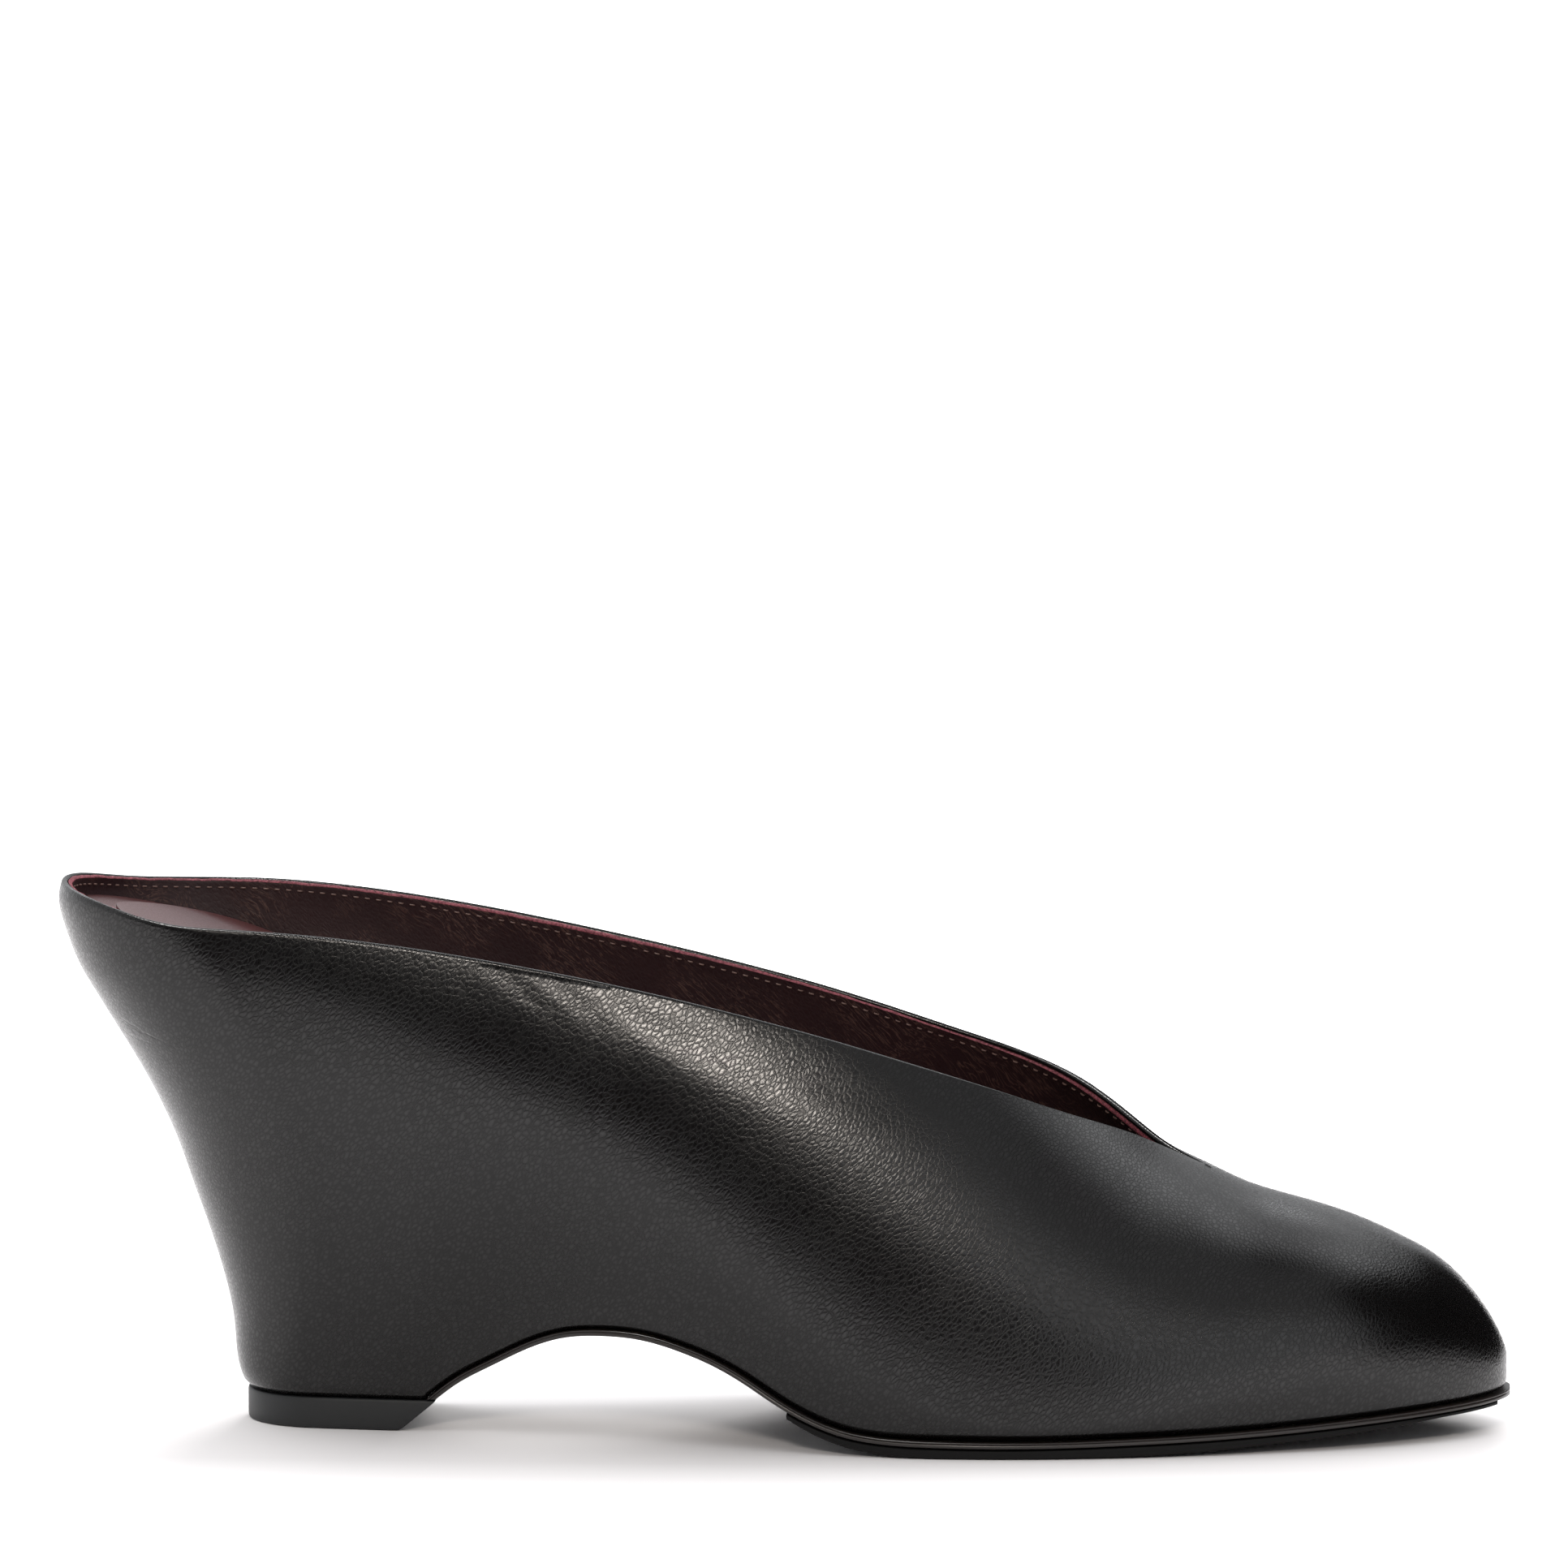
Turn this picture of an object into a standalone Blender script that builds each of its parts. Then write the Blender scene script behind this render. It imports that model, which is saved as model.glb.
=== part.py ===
"""Wedge mule for the right foot: a low leather shoe with a V-cut throat, a collar that
runs all the way round the heel, and a wedge cut away under the arch.

Lengths are in metres. X runs from the heel to the toe, Y to the inner side of the foot,
Z up. The origin is the middle of the heel's face on the floor.
"""
import math

import bmesh
import bpy
import numpy as np

# Named sizes
LENGTH = 0.2396
BALL_WIDTH = 0.0750
HEEL_HEIGHT = 0.0868
INSTEP_HEIGHT = 0.0433
BASE_WIDTH = 0.0300
BACK_OVERHANG = 0.0452
WALL = 0.0018
FIT_GAP = 0.0003
SOLE_THICK = 0.0010
SOLE_PROUD = 0.0007
INSOLE_THICK = 0.0022
SOCK_THICK = 0.0008
SOCK_INSET = 0.0022
LIFT_THICK = 0.0052
LIFT_SLANT = 0.0062
LIFT_INSET = 0.0002
SOLE_ROUND = 0.00035
TREAD_INSET = 0.0004
TREAD_LEAST = 0.0005
TIP_SETBACK = 0.0004
BED_SINK = 0.0025
SOLE_LEAST_HALF = 0.0003

# Where things begin and end, as shares of the length from the back of the collar
THROAT_AT = 0.7905
RIM_BACK_AT = 0.0034
BREAST_AT = 0.2580
CREST_AT = 0.3820
BASE_SHARE = 0.62
SOCK_FROM, SOCK_TO = 0.0400, 0.6500
WEDGE_TO = 0.5950
BED_DOWN_AT, BED_DOWN_OVER = 0.6050, 0.0300
TREAD_FROM, TREAD_TO = 0.5150, 0.9920
FLAT_FROM, FLAT_TO = 0.6050, 0.6680
SOLE_TIP_AT = 1.0006
PROUD_FROM, PROUD_OVER = 0.4000, 0.2000
PROUD_LEAST = 0.15

# Crease between upper and sole, seen from the side
CREASE = (  # along, height as a share of the heel height
    (0.2580, 0.0635), (0.2775, 0.1060), (0.3022, 0.1450), (0.3300, 0.1850),
    (0.3560, 0.2105), (0.3827, 0.2190), (0.4130, 0.2150), (0.4395, 0.1970),
    (0.4620, 0.1740), (0.4846, 0.1420), (0.5070, 0.1040), (0.5296, 0.0720),
    (0.5522, 0.0510), (0.5780, 0.0405), (0.6150, 0.0368), (0.6680, 0.0358),
    (0.7510, 0.0407), (0.8350, 0.0494), (0.9220, 0.0652), (1.0000, 0.0790),
)
# Back of the shoe, from the base up to the rim
BACK_LINE = (  # height as a share of the heel height, along
    (0.0635, 0.1290), (0.0840, 0.1257), (0.1780, 0.1207), (0.2900, 0.1125),
    (0.3700, 0.1035), (0.4600, 0.0920), (0.5370, 0.0822), (0.6060, 0.0712),
    (0.6920, 0.0545), (0.7700, 0.0370), (0.8190, 0.0262), (0.8700, 0.0152),
    (0.9100, 0.0090), (0.9550, 0.0035), (1.0000, 0.0006), (1.0350, 0.0034),
)
# Rim of the collar, outer and inner side of the foot
RIM = (  # along, height out, height in (shares of the heel height)
    (0.0034, 1.0345, 1.0345), (0.0150, 1.0270, 1.0240), (0.0370, 1.0120, 1.0090),
    (0.0600, 0.9960, 1.0020), (0.0840, 0.9820, 0.9990), (0.1250, 0.9730, 0.9975),
    (0.1960, 0.9600, 0.9830), (0.2500, 0.9430, 0.9630), (0.3130, 0.9160, 0.9330),
    (0.3840, 0.8800, 0.8930), (0.4600, 0.8330, 0.8440), (0.5420, 0.7730, 0.7830),
    (0.6130, 0.7120, 0.7230), (0.6680, 0.6590, 0.6760), (0.7070, 0.6150, 0.6310),
    (0.7420, 0.5715, 0.5715), (0.7660, 0.5335, 0.5310), (0.7800, 0.5132, 0.5122),
    (0.7905, 0.4988, 0.4988), (0.8183, 0.4610, 0.4610),
)
# How far the rim stands from the middle line (shares of the ball width)
RIM_SPREAD = (  # along, out, in
    (0.0000, 0.3520, 0.3520), (0.2000, 0.3530, 0.3530), (0.3130, 0.3500, 0.3500),
    (0.3840, 0.3500, 0.3490), (0.4600, 0.3500, 0.3500), (0.5420, 0.3430, 0.3430),
    (0.6130, 0.3180, 0.3210), (0.6680, 0.2720, 0.2780), (0.7070, 0.2060, 0.2100),
    (0.7420, 0.1130, 0.1130), (0.7660, 0.0380, 0.0380), (0.7790, 0.0140, 0.0140),
    (0.7905, 0.0010, 0.0010),
)
# Ridge of the vamp, by the square root of the share of the way from tip to throat
RIDGE = (  # root, height as a share of the instep height
    (0.0000, 0.2700), (0.0700, 0.3040), (0.1500, 0.3550), (0.2200, 0.4110),
    (0.3200, 0.5000), (0.4000, 0.5730), (0.5000, 0.6560), (0.6000, 0.7220),
    (0.7000, 0.7880), (0.8000, 0.8460), (0.8700, 0.8840), (0.9300, 0.9250),
    (1.0000, 1.0000), (1.0600, 1.0660),
)
# Sections: widest half widths, the share of them left at the crease, height of the
# widest place as a share of the wall, and the fullness of the curve over the top
TOE_SECTIONS = (  # root, out, in, foot_out, foot_in, belly, full
    (0.00, 0.000, 0.000, 0.950, 0.950, 0.42, 2.2),
    (0.15, 0.077, 0.080, 0.950, 0.950, 0.41, 2.2),
    (0.30, 0.152, 0.158, 0.950, 0.950, 0.40, 2.3),
    (0.45, 0.224, 0.234, 0.950, 0.950, 0.38, 2.4),
    (0.60, 0.291, 0.305, 0.955, 0.955, 0.34, 2.4),
    (0.75, 0.350, 0.366, 0.960, 0.960, 0.28, 2.35),
    (0.90, 0.403, 0.415, 0.965, 0.965, 0.19, 2.2),
    (1.00, 0.437, 0.442, 0.970, 0.970, 0.12, 2.1),
    (1.15, 0.475, 0.465, 0.975, 0.975, 0.05, 2.05),
)
BODY_SECTIONS = (  # along, out, in, foot_out, foot_in, belly, full
    (0.0000, 0.3560, 0.3560, 0.450, 0.450, 0.90, 2.0),
    (0.1300, 0.3600, 0.3600, 0.460, 0.460, 0.90, 2.0),
    (0.1900, 0.3660, 0.3650, 0.490, 0.490, 0.87, 2.0),
    (0.2500, 0.3740, 0.3700, 0.535, 0.535, 0.81, 2.0),
    (0.3130, 0.3840, 0.3760, 0.630, 0.620, 0.70, 2.0),
    (0.3840, 0.4020, 0.3850, 0.800, 0.780, 0.58, 2.0),
    (0.4600, 0.4330, 0.4000, 0.890, 0.870, 0.42, 2.0),
    (0.5420, 0.4740, 0.4260, 0.945, 0.925, 0.25, 2.0),
    (0.6130, 0.4950, 0.4500, 0.970, 0.960, 0.09, 2.0),
    (0.6680, 0.4930, 0.4660, 0.975, 0.970, 0.04, 2.0),
    (0.7250, 0.4750, 0.4650, 0.975, 0.975, 0.05, 2.05),
    (0.7905, 0.4370, 0.4420, 0.970, 0.970, 0.12, 2.1),
    (0.8296, 0.4030, 0.4150, 0.965, 0.965, 0.19, 2.2),
)
# Middle line of the foot, as shares of the ball width to the inner side
MIDDLE = (  # along, shift
    (0.000, 0.000), (0.300, -0.004), (0.500, 0.004), (0.660, 0.014),
    (0.790, 0.027), (0.900, 0.038), (1.000, 0.046),
)
# Top of the footbed and floor side of the sole
FOOTBED = (  # along, height as a share of the heel height
    (0.0000, 0.9960), (0.0263, 0.9790), (0.0630, 0.9510), (0.1050, 0.9150),
    (0.1400, 0.8810), (0.1900, 0.8190), (0.2500, 0.7230), (0.3130, 0.6020),
    (0.3840, 0.4560), (0.4600, 0.2900), (0.5220, 0.1720), (0.5760, 0.0980),
    (0.6200, 0.0660), (0.6680, 0.0618), (0.7510, 0.0662), (0.8350, 0.0749),
    (0.9220, 0.0907), (1.0000, 0.1045),
)
TREAD_FACE = (  # along, height as a share of the heel height
    (0.5000, 0.0920), (0.5296, 0.0430), (0.5522, 0.0185), (0.5740, 0.0065),
    (0.5950, 0.0008), (0.6050, 0.0000), (0.6680, 0.0000), (0.6800, 0.0002),
    (0.7080, 0.0010), (0.7510, 0.0034), (0.7930, 0.0080), (0.8350, 0.0160),
    (0.8810, 0.0262), (0.9220, 0.0372), (0.9550, 0.0472), (1.0000, 0.0620),
)

# Fineness of the meshes
TOE_STEPS = 12
COLLAR_STEPS = 38
WALL_STEPS = 13
OUTLINE_STEPS = 160
SOLE_STEPS = 58
TREAD_STEPS = 36
SOLE_CROWD = 1.6
BASE_STEPS = 14
BAND_STEPS = 60
BLOCK_STEPS = 40
SOCK_STEPS = 34
HALVINGS = 40
SLOPE_REACH = 0.002
# Cutting bands run past both ends of the shoe by this share of its length
OVERRUN = 0.02

# Roundness of the back, where the heel's base starts to widen, and the tuck of the walls
BACK_REACH = 1.02
BACK_LEAST = 0.4
BASE_FOOT_AT = 0.1800
BASE_BACK_SHARE = 0.44
TUCK = 1.25
# Wall lines behind the arch: how evenly their feet are spread
FOOT_EVEN = 0.75
# Edges of a sole layer: most rounding as a share of the half width, and where the
# upright part of the edge starts and ends as shares of the thickness
ROUND_MOST = 0.3
EDGE_HIGH, EDGE_LOW = 0.30, 0.70


def spline(rows, column, at):
    """Natural cubic curve through one column of a table, its first column the abscissa."""
    xs = np.array([row[0] for row in rows])
    ys = np.array([row[column] for row in rows])
    n = len(xs)
    h = np.diff(xs)
    a = np.eye(n)
    b = np.zeros(n)
    for i in range(1, n - 1):
        a[i, i - 1] = h[i - 1]
        a[i, i] = 2 * (h[i - 1] + h[i])
        a[i, i + 1] = h[i]
        b[i] = 6 * ((ys[i + 1] - ys[i]) / h[i] - (ys[i] - ys[i - 1]) / h[i - 1])
    m = np.linalg.solve(a, b)
    at = min(max(at, xs[0]), xs[-1])
    i = min(max(int(np.searchsorted(xs, at)) - 1, 0), n - 2)
    t = at - xs[i]
    u = xs[i + 1] - at
    curved = (m[i] * u ** 3 + m[i + 1] * t ** 3) / (6 * h[i])
    left = (ys[i] / h[i] - m[i] * h[i] / 6) * u
    right = (ys[i + 1] / h[i] - m[i + 1] * h[i] / 6) * t
    return float(curved + left + right)


TIP_AT = 1.0 - TIP_SETBACK / LENGTH
TOE_SPAN = TIP_AT - THROAT_AT
BASE_HEIGHT = LIFT_THICK + FIT_GAP


def crease(at):
    """Height of the upper's lower edge."""
    if at <= BREAST_AT:
        return BASE_HEIGHT
    return max(BASE_HEIGHT if at < CREST_AT else 0.0, HEEL_HEIGHT * spline(CREASE, 1, at))


def back_at(height):
    """How far along the shoe its back stands at a height."""
    return spline(BACK_LINE, 1, height / HEEL_HEIGHT)


def rim_height(at, inner):
    return HEEL_HEIGHT * spline(RIM, 2 if inner else 1, at)


def toe_root(at):
    return math.sqrt(max(TIP_AT - at, 0.0) / TOE_SPAN)


def shape(at, inner):
    """Numbers of the upright section at a place along the shoe."""
    side = 2 if inner else 1
    if at >= THROAT_AT:
        root = toe_root(at)
        rows, key = TOE_SECTIONS, root
        top = INSTEP_HEIGHT * spline(RIDGE, 1, root)
        spread = 0.0
    else:
        rows, key = BODY_SECTIONS, at
        top = rim_height(at, inner)
        spread = BALL_WIDTH * max(spline(RIM_SPREAD, side, at), 0.0)
    wide = BALL_WIDTH * spline(rows, side, key)
    foot = wide * spline(rows, side + 2, key)
    if at < BREAST_AT:
        blend = min(max((at - BASE_FOOT_AT) / (BREAST_AT - BASE_FOOT_AT), 0.0), 1.0)
        full_foot = BALL_WIDTH * spline(rows, side, BREAST_AT) * spline(rows, side + 2, BREAST_AT)
        narrow = BASE_WIDTH * BASE_BACK_SHARE
        foot = narrow + (full_foot - narrow) * blend
    belly = spline(rows, 5, key)
    full = spline(rows, 6, key)
    return crease(at), top, wide, foot, belly, full, spread


def half_width(at, height, inner):
    """Distance from the middle line to the outside of the upper."""
    low, top, wide, foot, belly, full, spread = shape(at, inner)
    rise = (height - low) / max(top - low, 1e-6)
    if rise <= belly:
        swell = math.sin(0.5 * math.pi * max(rise, 0.0) / belly) ** TUCK
        width = foot + (wide - foot) * swell
    else:
        kept = min(spread / wide, 0.999) if wide > 0 else 0.0
        reach = (1 - kept ** full) ** (1 / full)
        over = min(reach * (rise - belly) / (1 - belly), 1.0)
        width = wide * (1 - over ** full) ** (1 / full)
    inset = at - back_at(height)
    if at < THROAT_AT:
        closing = BACK_REACH * max(width, BACK_LEAST * BASE_WIDTH) / LENGTH
        near = min(max(inset / closing, 0.0), 1.0)
        width *= math.sqrt(max(1 - (1 - near) ** 2, 0.0))
    return width


def middle(at):
    return BALL_WIDTH * spline(MIDDLE, 1, at)


def world(at, side, height):
    return (at * LENGTH - BACK_OVERHANG, side, height)


def foot_of(turn):
    """Foot of a wall line that tops out behind the arch's crest (turn 1) or at the back (0)."""
    back = back_at(BASE_HEIGHT)
    if turn < BASE_SHARE:
        share = turn / BASE_SHARE
        return back + (BREAST_AT - back) * (1 - math.cos(0.5 * math.pi * share))
    share = (turn - BASE_SHARE) / (1 - BASE_SHARE)
    spread = FOOT_EVEN * share + (1 - FOOT_EVEN) * share ** 2
    return BREAST_AT + (CREST_AT - BREAST_AT) * spread


def stations():
    """Wall lines in side view: (foot along, height; top along, height out, in; follow)."""
    lines = []
    for i in range(TOE_STEPS + 1):
        root = i / TOE_STEPS
        at = TIP_AT - TOE_SPAN * root ** 2
        top = INSTEP_HEIGHT * spline(RIDGE, 1, root)
        lines.append((at, crease(at), at, top, top, 0.0))
    for i in range(1, COLLAR_STEPS + 1):
        turn = 0.5 + 0.5 * math.cos(math.pi * i / COLLAR_STEPS)
        at = RIM_BACK_AT + (THROAT_AT - RIM_BACK_AT) * turn
        foot = at
        follow = 0.0
        if at < CREST_AT:
            behind = (at - RIM_BACK_AT) / (CREST_AT - RIM_BACK_AT)
            foot = foot_of(math.sqrt(behind))
            follow = 1 - behind
        lines.append((foot, crease(foot), at, rim_height(at, False), rim_height(at, True), follow))
    return lines


def skin_points(line, inner):
    """One line of points up the outside of the upper, from the crease to its top."""
    foot, low, top, high_out, high_in, follow = line
    high = high_in if inner else high_out
    sign = 1.0 if inner else -1.0
    tip_width = half_width(top, high, inner)
    widest = max(half_width(foot + (top - foot) * 0.5, low + (high - low) * 0.5, inner), 1e-5)
    closed = 0.0
    if follow == 0.0:
        closed = 1 - min(tip_width / widest, 1.0) ** 2
    back_low, back_high = back_at(low), back_at(high)
    points = []
    for j in range(WALL_STEPS + 1):
        even = j / WALL_STEPS
        share = (1 - closed) * even + closed * math.sin(0.5 * math.pi * even)
        height = low + (high - low) * share
        bow = back_at(height) - (back_low + (back_high - back_low) * share)
        at = foot + (top - foot) * share + follow * bow
        width = tip_width if j == WALL_STEPS else half_width(at, height, inner)
        points.append((at, sign * width, height))
    return points


def ring_of(corners):
    """Corners of a face without the repeated ones."""
    ring = []
    for corner in corners:
        if corner not in ring:
            ring.append(corner)
    return ring


def skin():
    """Outer sheet of the upper: vertices, faces, and the loops of its edges."""
    lines = stations()
    last = len(lines) - 1
    verts = []
    index = {}
    for i, line in enumerate(lines):
        for inner in (False, True):
            for j, (at, side, height) in enumerate(skin_points(line, inner)):
                closed_top = j == WALL_STEPS and i <= TOE_STEPS
                shared = i in (0, last) or closed_top
                if shared and inner:
                    index[i, inner, j] = index[i, False, j]
                    continue
                if shared:
                    side = 0.0
                index[i, inner, j] = len(verts)
                verts.append(world(at, middle(at) + side, height))
    faces = []
    for i in range(last):
        for j in range(WALL_STEPS):
            for inner in (False, True):
                quad = [index[i, inner, j], index[i, inner, j + 1],
                        index[i + 1, inner, j + 1], index[i + 1, inner, j]]
                if inner:
                    quad.reverse()
                faces.append(ring_of(quad))
    foot_loop = [index[i, False, 0] for i in range(last + 1)]
    foot_loop += [index[i, True, 0] for i in range(last - 1, 0, -1)]
    top = WALL_STEPS
    rim_loop = [index[i, False, top] for i in range(TOE_STEPS, last + 1)]
    rim_loop += [index[i, True, top] for i in range(last - 1, TOE_STEPS, -1)]
    return verts, faces, foot_loop, rim_loop, index, last


SKIN = skin()


def mesh_from(name, verts, faces):
    mesh = bpy.data.meshes.new(name)
    mesh.from_pydata([tuple(v) for v in verts], [], [tuple(f) for f in faces])
    mesh.validate()
    mesh.update()
    return mesh


def outward(verts, faces):
    """Unit directions pointing away from the sheet at its vertices."""
    points = np.array(verts)
    normals = np.zeros_like(points)
    for face in faces:
        ring = points[list(face)]
        area = np.zeros(3)
        for k in range(1, len(ring) - 1):
            area += np.cross(ring[k] - ring[0], ring[k + 1] - ring[0])
        for corner in face:
            normals[corner] += area
    lengths = np.linalg.norm(normals, axis=1)
    return normals / np.maximum(lengths, 1e-12)[:, None]


def offset_sheet(depth):
    """The outer sheet moved inward, its lower edge kept at the height of the crease."""
    verts, faces, foot_loop, rim_loop, index, last = SKIN
    points = np.array(verts)
    way = outward(verts, faces)
    for i in foot_loop:
        way[i, 2] = 0.0
        way[i] /= np.linalg.norm(way[i])
    moved = points - depth * way
    for i in foot_loop:
        moved[i, 2] = crease((moved[i, 0] + BACK_OVERHANG) / LENGTH)
    return moved


def shell_object():
    """The upper: the outer sheet, the lining face inside it and the two edges."""
    verts, faces, foot_loop, rim_loop, index, last = SKIN
    inner = offset_sheet(WALL)
    count = len(verts)
    points = [tuple(v) for v in verts] + [tuple(v) for v in inner]
    solid = [list(f) for f in faces]
    solid += [[v + count for v in reversed(f)] for f in faces]
    for loop, turned in ((foot_loop, False), (rim_loop, True)):
        for k in range(len(loop)):
            a, b = loop[k], loop[(k + 1) % len(loop)]
            quad = [a, b, b + count, a + count]
            solid.append(list(reversed(quad)) if turned else quad)
    return mesh_from("upper", points, solid)


def core_mesh(depth):
    """Everything inside the upper, closed across the collar and underneath."""
    verts, faces, foot_loop, rim_loop, index, last = SKIN
    solid = [list(f) for f in faces]
    for i in range(last):
        for j in (0, WALL_STEPS):
            ring = ring_of((index[i, False, j], index[i + 1, False, j],
                            index[i + 1, True, j], index[i, True, j]))
            if len(ring) > 2:
                solid.append(ring if j == 0 else ring[::-1])
    return offset_sheet(depth), solid


def face_outward(mesh):
    """Turn every face of a closed mesh outward."""
    work = bmesh.new()
    work.from_mesh(mesh)
    bmesh.ops.recalc_face_normals(work, faces=work.faces)
    volume = work.calc_volume(signed=True)
    if volume < 0:
        bmesh.ops.reverse_faces(work, faces=work.faces)
    work.to_mesh(mesh)
    work.free()
    return mesh


def new_object(name, mesh, collection):
    face_outward(mesh)
    thing = bpy.data.objects.new(name, mesh)
    collection.objects.link(thing)
    return thing


def slab(name, outline, collection):
    """A side-view outline of (along, height) drawn out across the whole width."""
    half = BALL_WIDTH
    n = len(outline)
    verts = [world(at, -half, z) for at, z in outline] + [world(at, half, z) for at, z in outline]
    faces = [list(range(n)), list(range(2 * n - 1, n - 1, -1))]
    faces += [[k, (k + 1) % n, n + (k + 1) % n, n + k] for k in range(n)]
    thing = new_object(name, mesh_from(name, verts, faces), collection)
    thing.hide_render = True
    thing.display_type = "WIRE"
    return thing


def cut(thing, cutter, operation):
    step = thing.modifiers.new(operation.lower(), "BOOLEAN")
    step.operation = operation
    step.solver = "EXACT"
    step.object = cutter


def footbed(at):
    return HEEL_HEIGHT * spline(FOOTBED, 1, at)


def sink(at):
    """Forward of the wedge the footbed band passes below the sole's crease."""
    return BED_SINK * min(max((at - BED_DOWN_AT) / BED_DOWN_OVER, 0.0), 1.0)


def along_steps(start, end, count):
    return [start + (end - start) * k / count for k in range(count + 1)]


def sole_outline():
    """Half widths of the sole by place along the shoe, proud of the upper's lower edge."""
    sides = {}
    for inner in (False, True):
        ats = []
        widths = []
        for k in range(OUTLINE_STEPS + 1):
            root = k / OUTLINE_STEPS
            at = TIP_AT - (TIP_AT - BREAST_AT) * root ** 2
            ats.append(at * LENGTH)
            widths.append(half_width(at, crease(at), inner))
        ats = np.array(ats)
        widths = np.array(widths)
        along = np.gradient(ats)
        across = np.gradient(widths)
        length = np.hypot(along, across)
        fade = np.clip((ats / LENGTH - PROUD_FROM) / PROUD_OVER, 0.0, 1.0)
        proud = SOLE_PROUD * (PROUD_LEAST + (1 - PROUD_LEAST) * fade)
        new_ats = ats + proud * across / length
        new_widths = widths - proud * along / length
        order = np.argsort(new_ats)
        sides[inner] = (new_ats[order] / LENGTH, new_widths[order])
    return sides


OUTLINE = sole_outline()


def sole_half(at, inner, inset):
    ats, widths = OUTLINE[inner]
    width = float(np.interp(at + inset / LENGTH, ats, widths)) - inset
    return max(width, SOLE_LEAST_HALF)


def layer(name, tops, bottoms, widths, rounding, collection):
    """A flexible layer: sections with rounded edges between an upper and a lower line."""
    verts = []
    faces = []
    ring_size = 8
    for (top_at, top_z), (low_at, low_z), (out, inn) in zip(tops, bottoms, widths):
        bevel = min(rounding, ROUND_MOST * out, ROUND_MOST * inn)
        mids = [((top_at * (1 - s) + low_at * s), (top_z * (1 - s) + low_z * s))
                for s in (EDGE_HIGH, EDGE_LOW)]
        shift = middle(top_at)
        ring = [
            (top_at, shift - out + bevel, top_z), (mids[0][0], shift - out, mids[0][1]),
            (mids[1][0], shift - out, mids[1][1]), (low_at, shift - out + bevel, low_z),
            (low_at, shift + inn - bevel, low_z), (mids[1][0], shift + inn, mids[1][1]),
            (mids[0][0], shift + inn, mids[0][1]), (top_at, shift + inn - bevel, top_z),
        ]
        verts += [world(at, y, z) for at, y, z in ring]
    rows = len(tops)
    for i in range(rows - 1):
        for k in range(ring_size):
            a = i * ring_size + k
            b = i * ring_size + (k + 1) % ring_size
            faces.append([a, b, b + ring_size, a + ring_size])
    faces.append(list(range(ring_size)))
    faces.append(list(range(rows * ring_size - 1, (rows - 1) * ring_size - 1, -1)))
    return new_object(name, mesh_from(name, verts, faces), collection)


def below(at, depth):
    """The crease line moved square to itself by a depth, as (along, height)."""
    rise = (crease(at + SLOPE_REACH) - crease(at - SLOPE_REACH)) / (2 * SLOPE_REACH * LENGTH)
    if at - SLOPE_REACH < BREAST_AT:
        rise = (crease(at + SLOPE_REACH) - crease(at)) / (SLOPE_REACH * LENGTH)
    size = math.hypot(1.0, rise)
    return at + depth * rise / size / LENGTH, crease(at) - depth / size


def level_crossing(depth):
    """Where the moved crease line comes down to the heel's top piece, behind the arch."""
    high, low = CREST_AT, BREAST_AT
    for _ in range(HALVINGS):
        mid = 0.5 * (high + low)
        if below(mid, depth)[1] > BASE_HEIGHT:
            high = mid
        else:
            low = mid
    return below(high, depth)[0]


def sole_object(collection):
    """Thin sole from the toe through the arch, ending level on the heel's top piece."""
    tops = []
    bottoms = []
    widths = []
    for k in range(SOLE_STEPS + 1):
        at = SOLE_TIP_AT - (SOLE_TIP_AT - BREAST_AT) * (k / SOLE_STEPS) ** SOLE_CROWD
        low = below(at, FIT_GAP + SOLE_THICK)
        if at < CREST_AT and low[1] < BASE_HEIGHT + 0.5 * SOLE_THICK:
            continue
        tops.append(below(at, FIT_GAP))
        bottoms.append(low)
        widths.append((sole_half(at, False, 0.0), sole_half(at, True, 0.0)))
    end_top = level_crossing(FIT_GAP)
    end_low = level_crossing(FIT_GAP + SOLE_THICK)
    tops.append((end_top, BASE_HEIGHT))
    bottoms.append((end_low, BASE_HEIGHT))
    widths.append((sole_half(end_top, False, 0.0), sole_half(end_top, True, 0.0)))
    return layer("outsole", tops, bottoms, widths, SOLE_ROUND, collection)


def tread_object(collection):
    """Forefoot tread under the sole, flat where it meets the floor."""
    ats = {FLAT_FROM, FLAT_TO}
    for k in range(TREAD_STEPS + 1):
        ats.add(TREAD_TO - (TREAD_TO - TREAD_FROM) * (k / TREAD_STEPS) ** SOLE_CROWD)
    tops = []
    bottoms = []
    widths = []
    for at in sorted(ats, reverse=True):
        top = below(at, SOLE_THICK + 2 * FIT_GAP)
        face = max(HEEL_HEIGHT * spline(TREAD_FACE, 1, at), 0.0)
        if FLAT_FROM <= at <= FLAT_TO:
            face = 0.0
        tops.append(top)
        bottoms.append((top[0], min(face, top[1] - TREAD_LEAST)))
        widths.append((sole_half(at, False, TREAD_INSET), sole_half(at, True, TREAD_INSET)))
    return layer("tread", tops, bottoms, widths, TREAD_INSET, collection)


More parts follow.
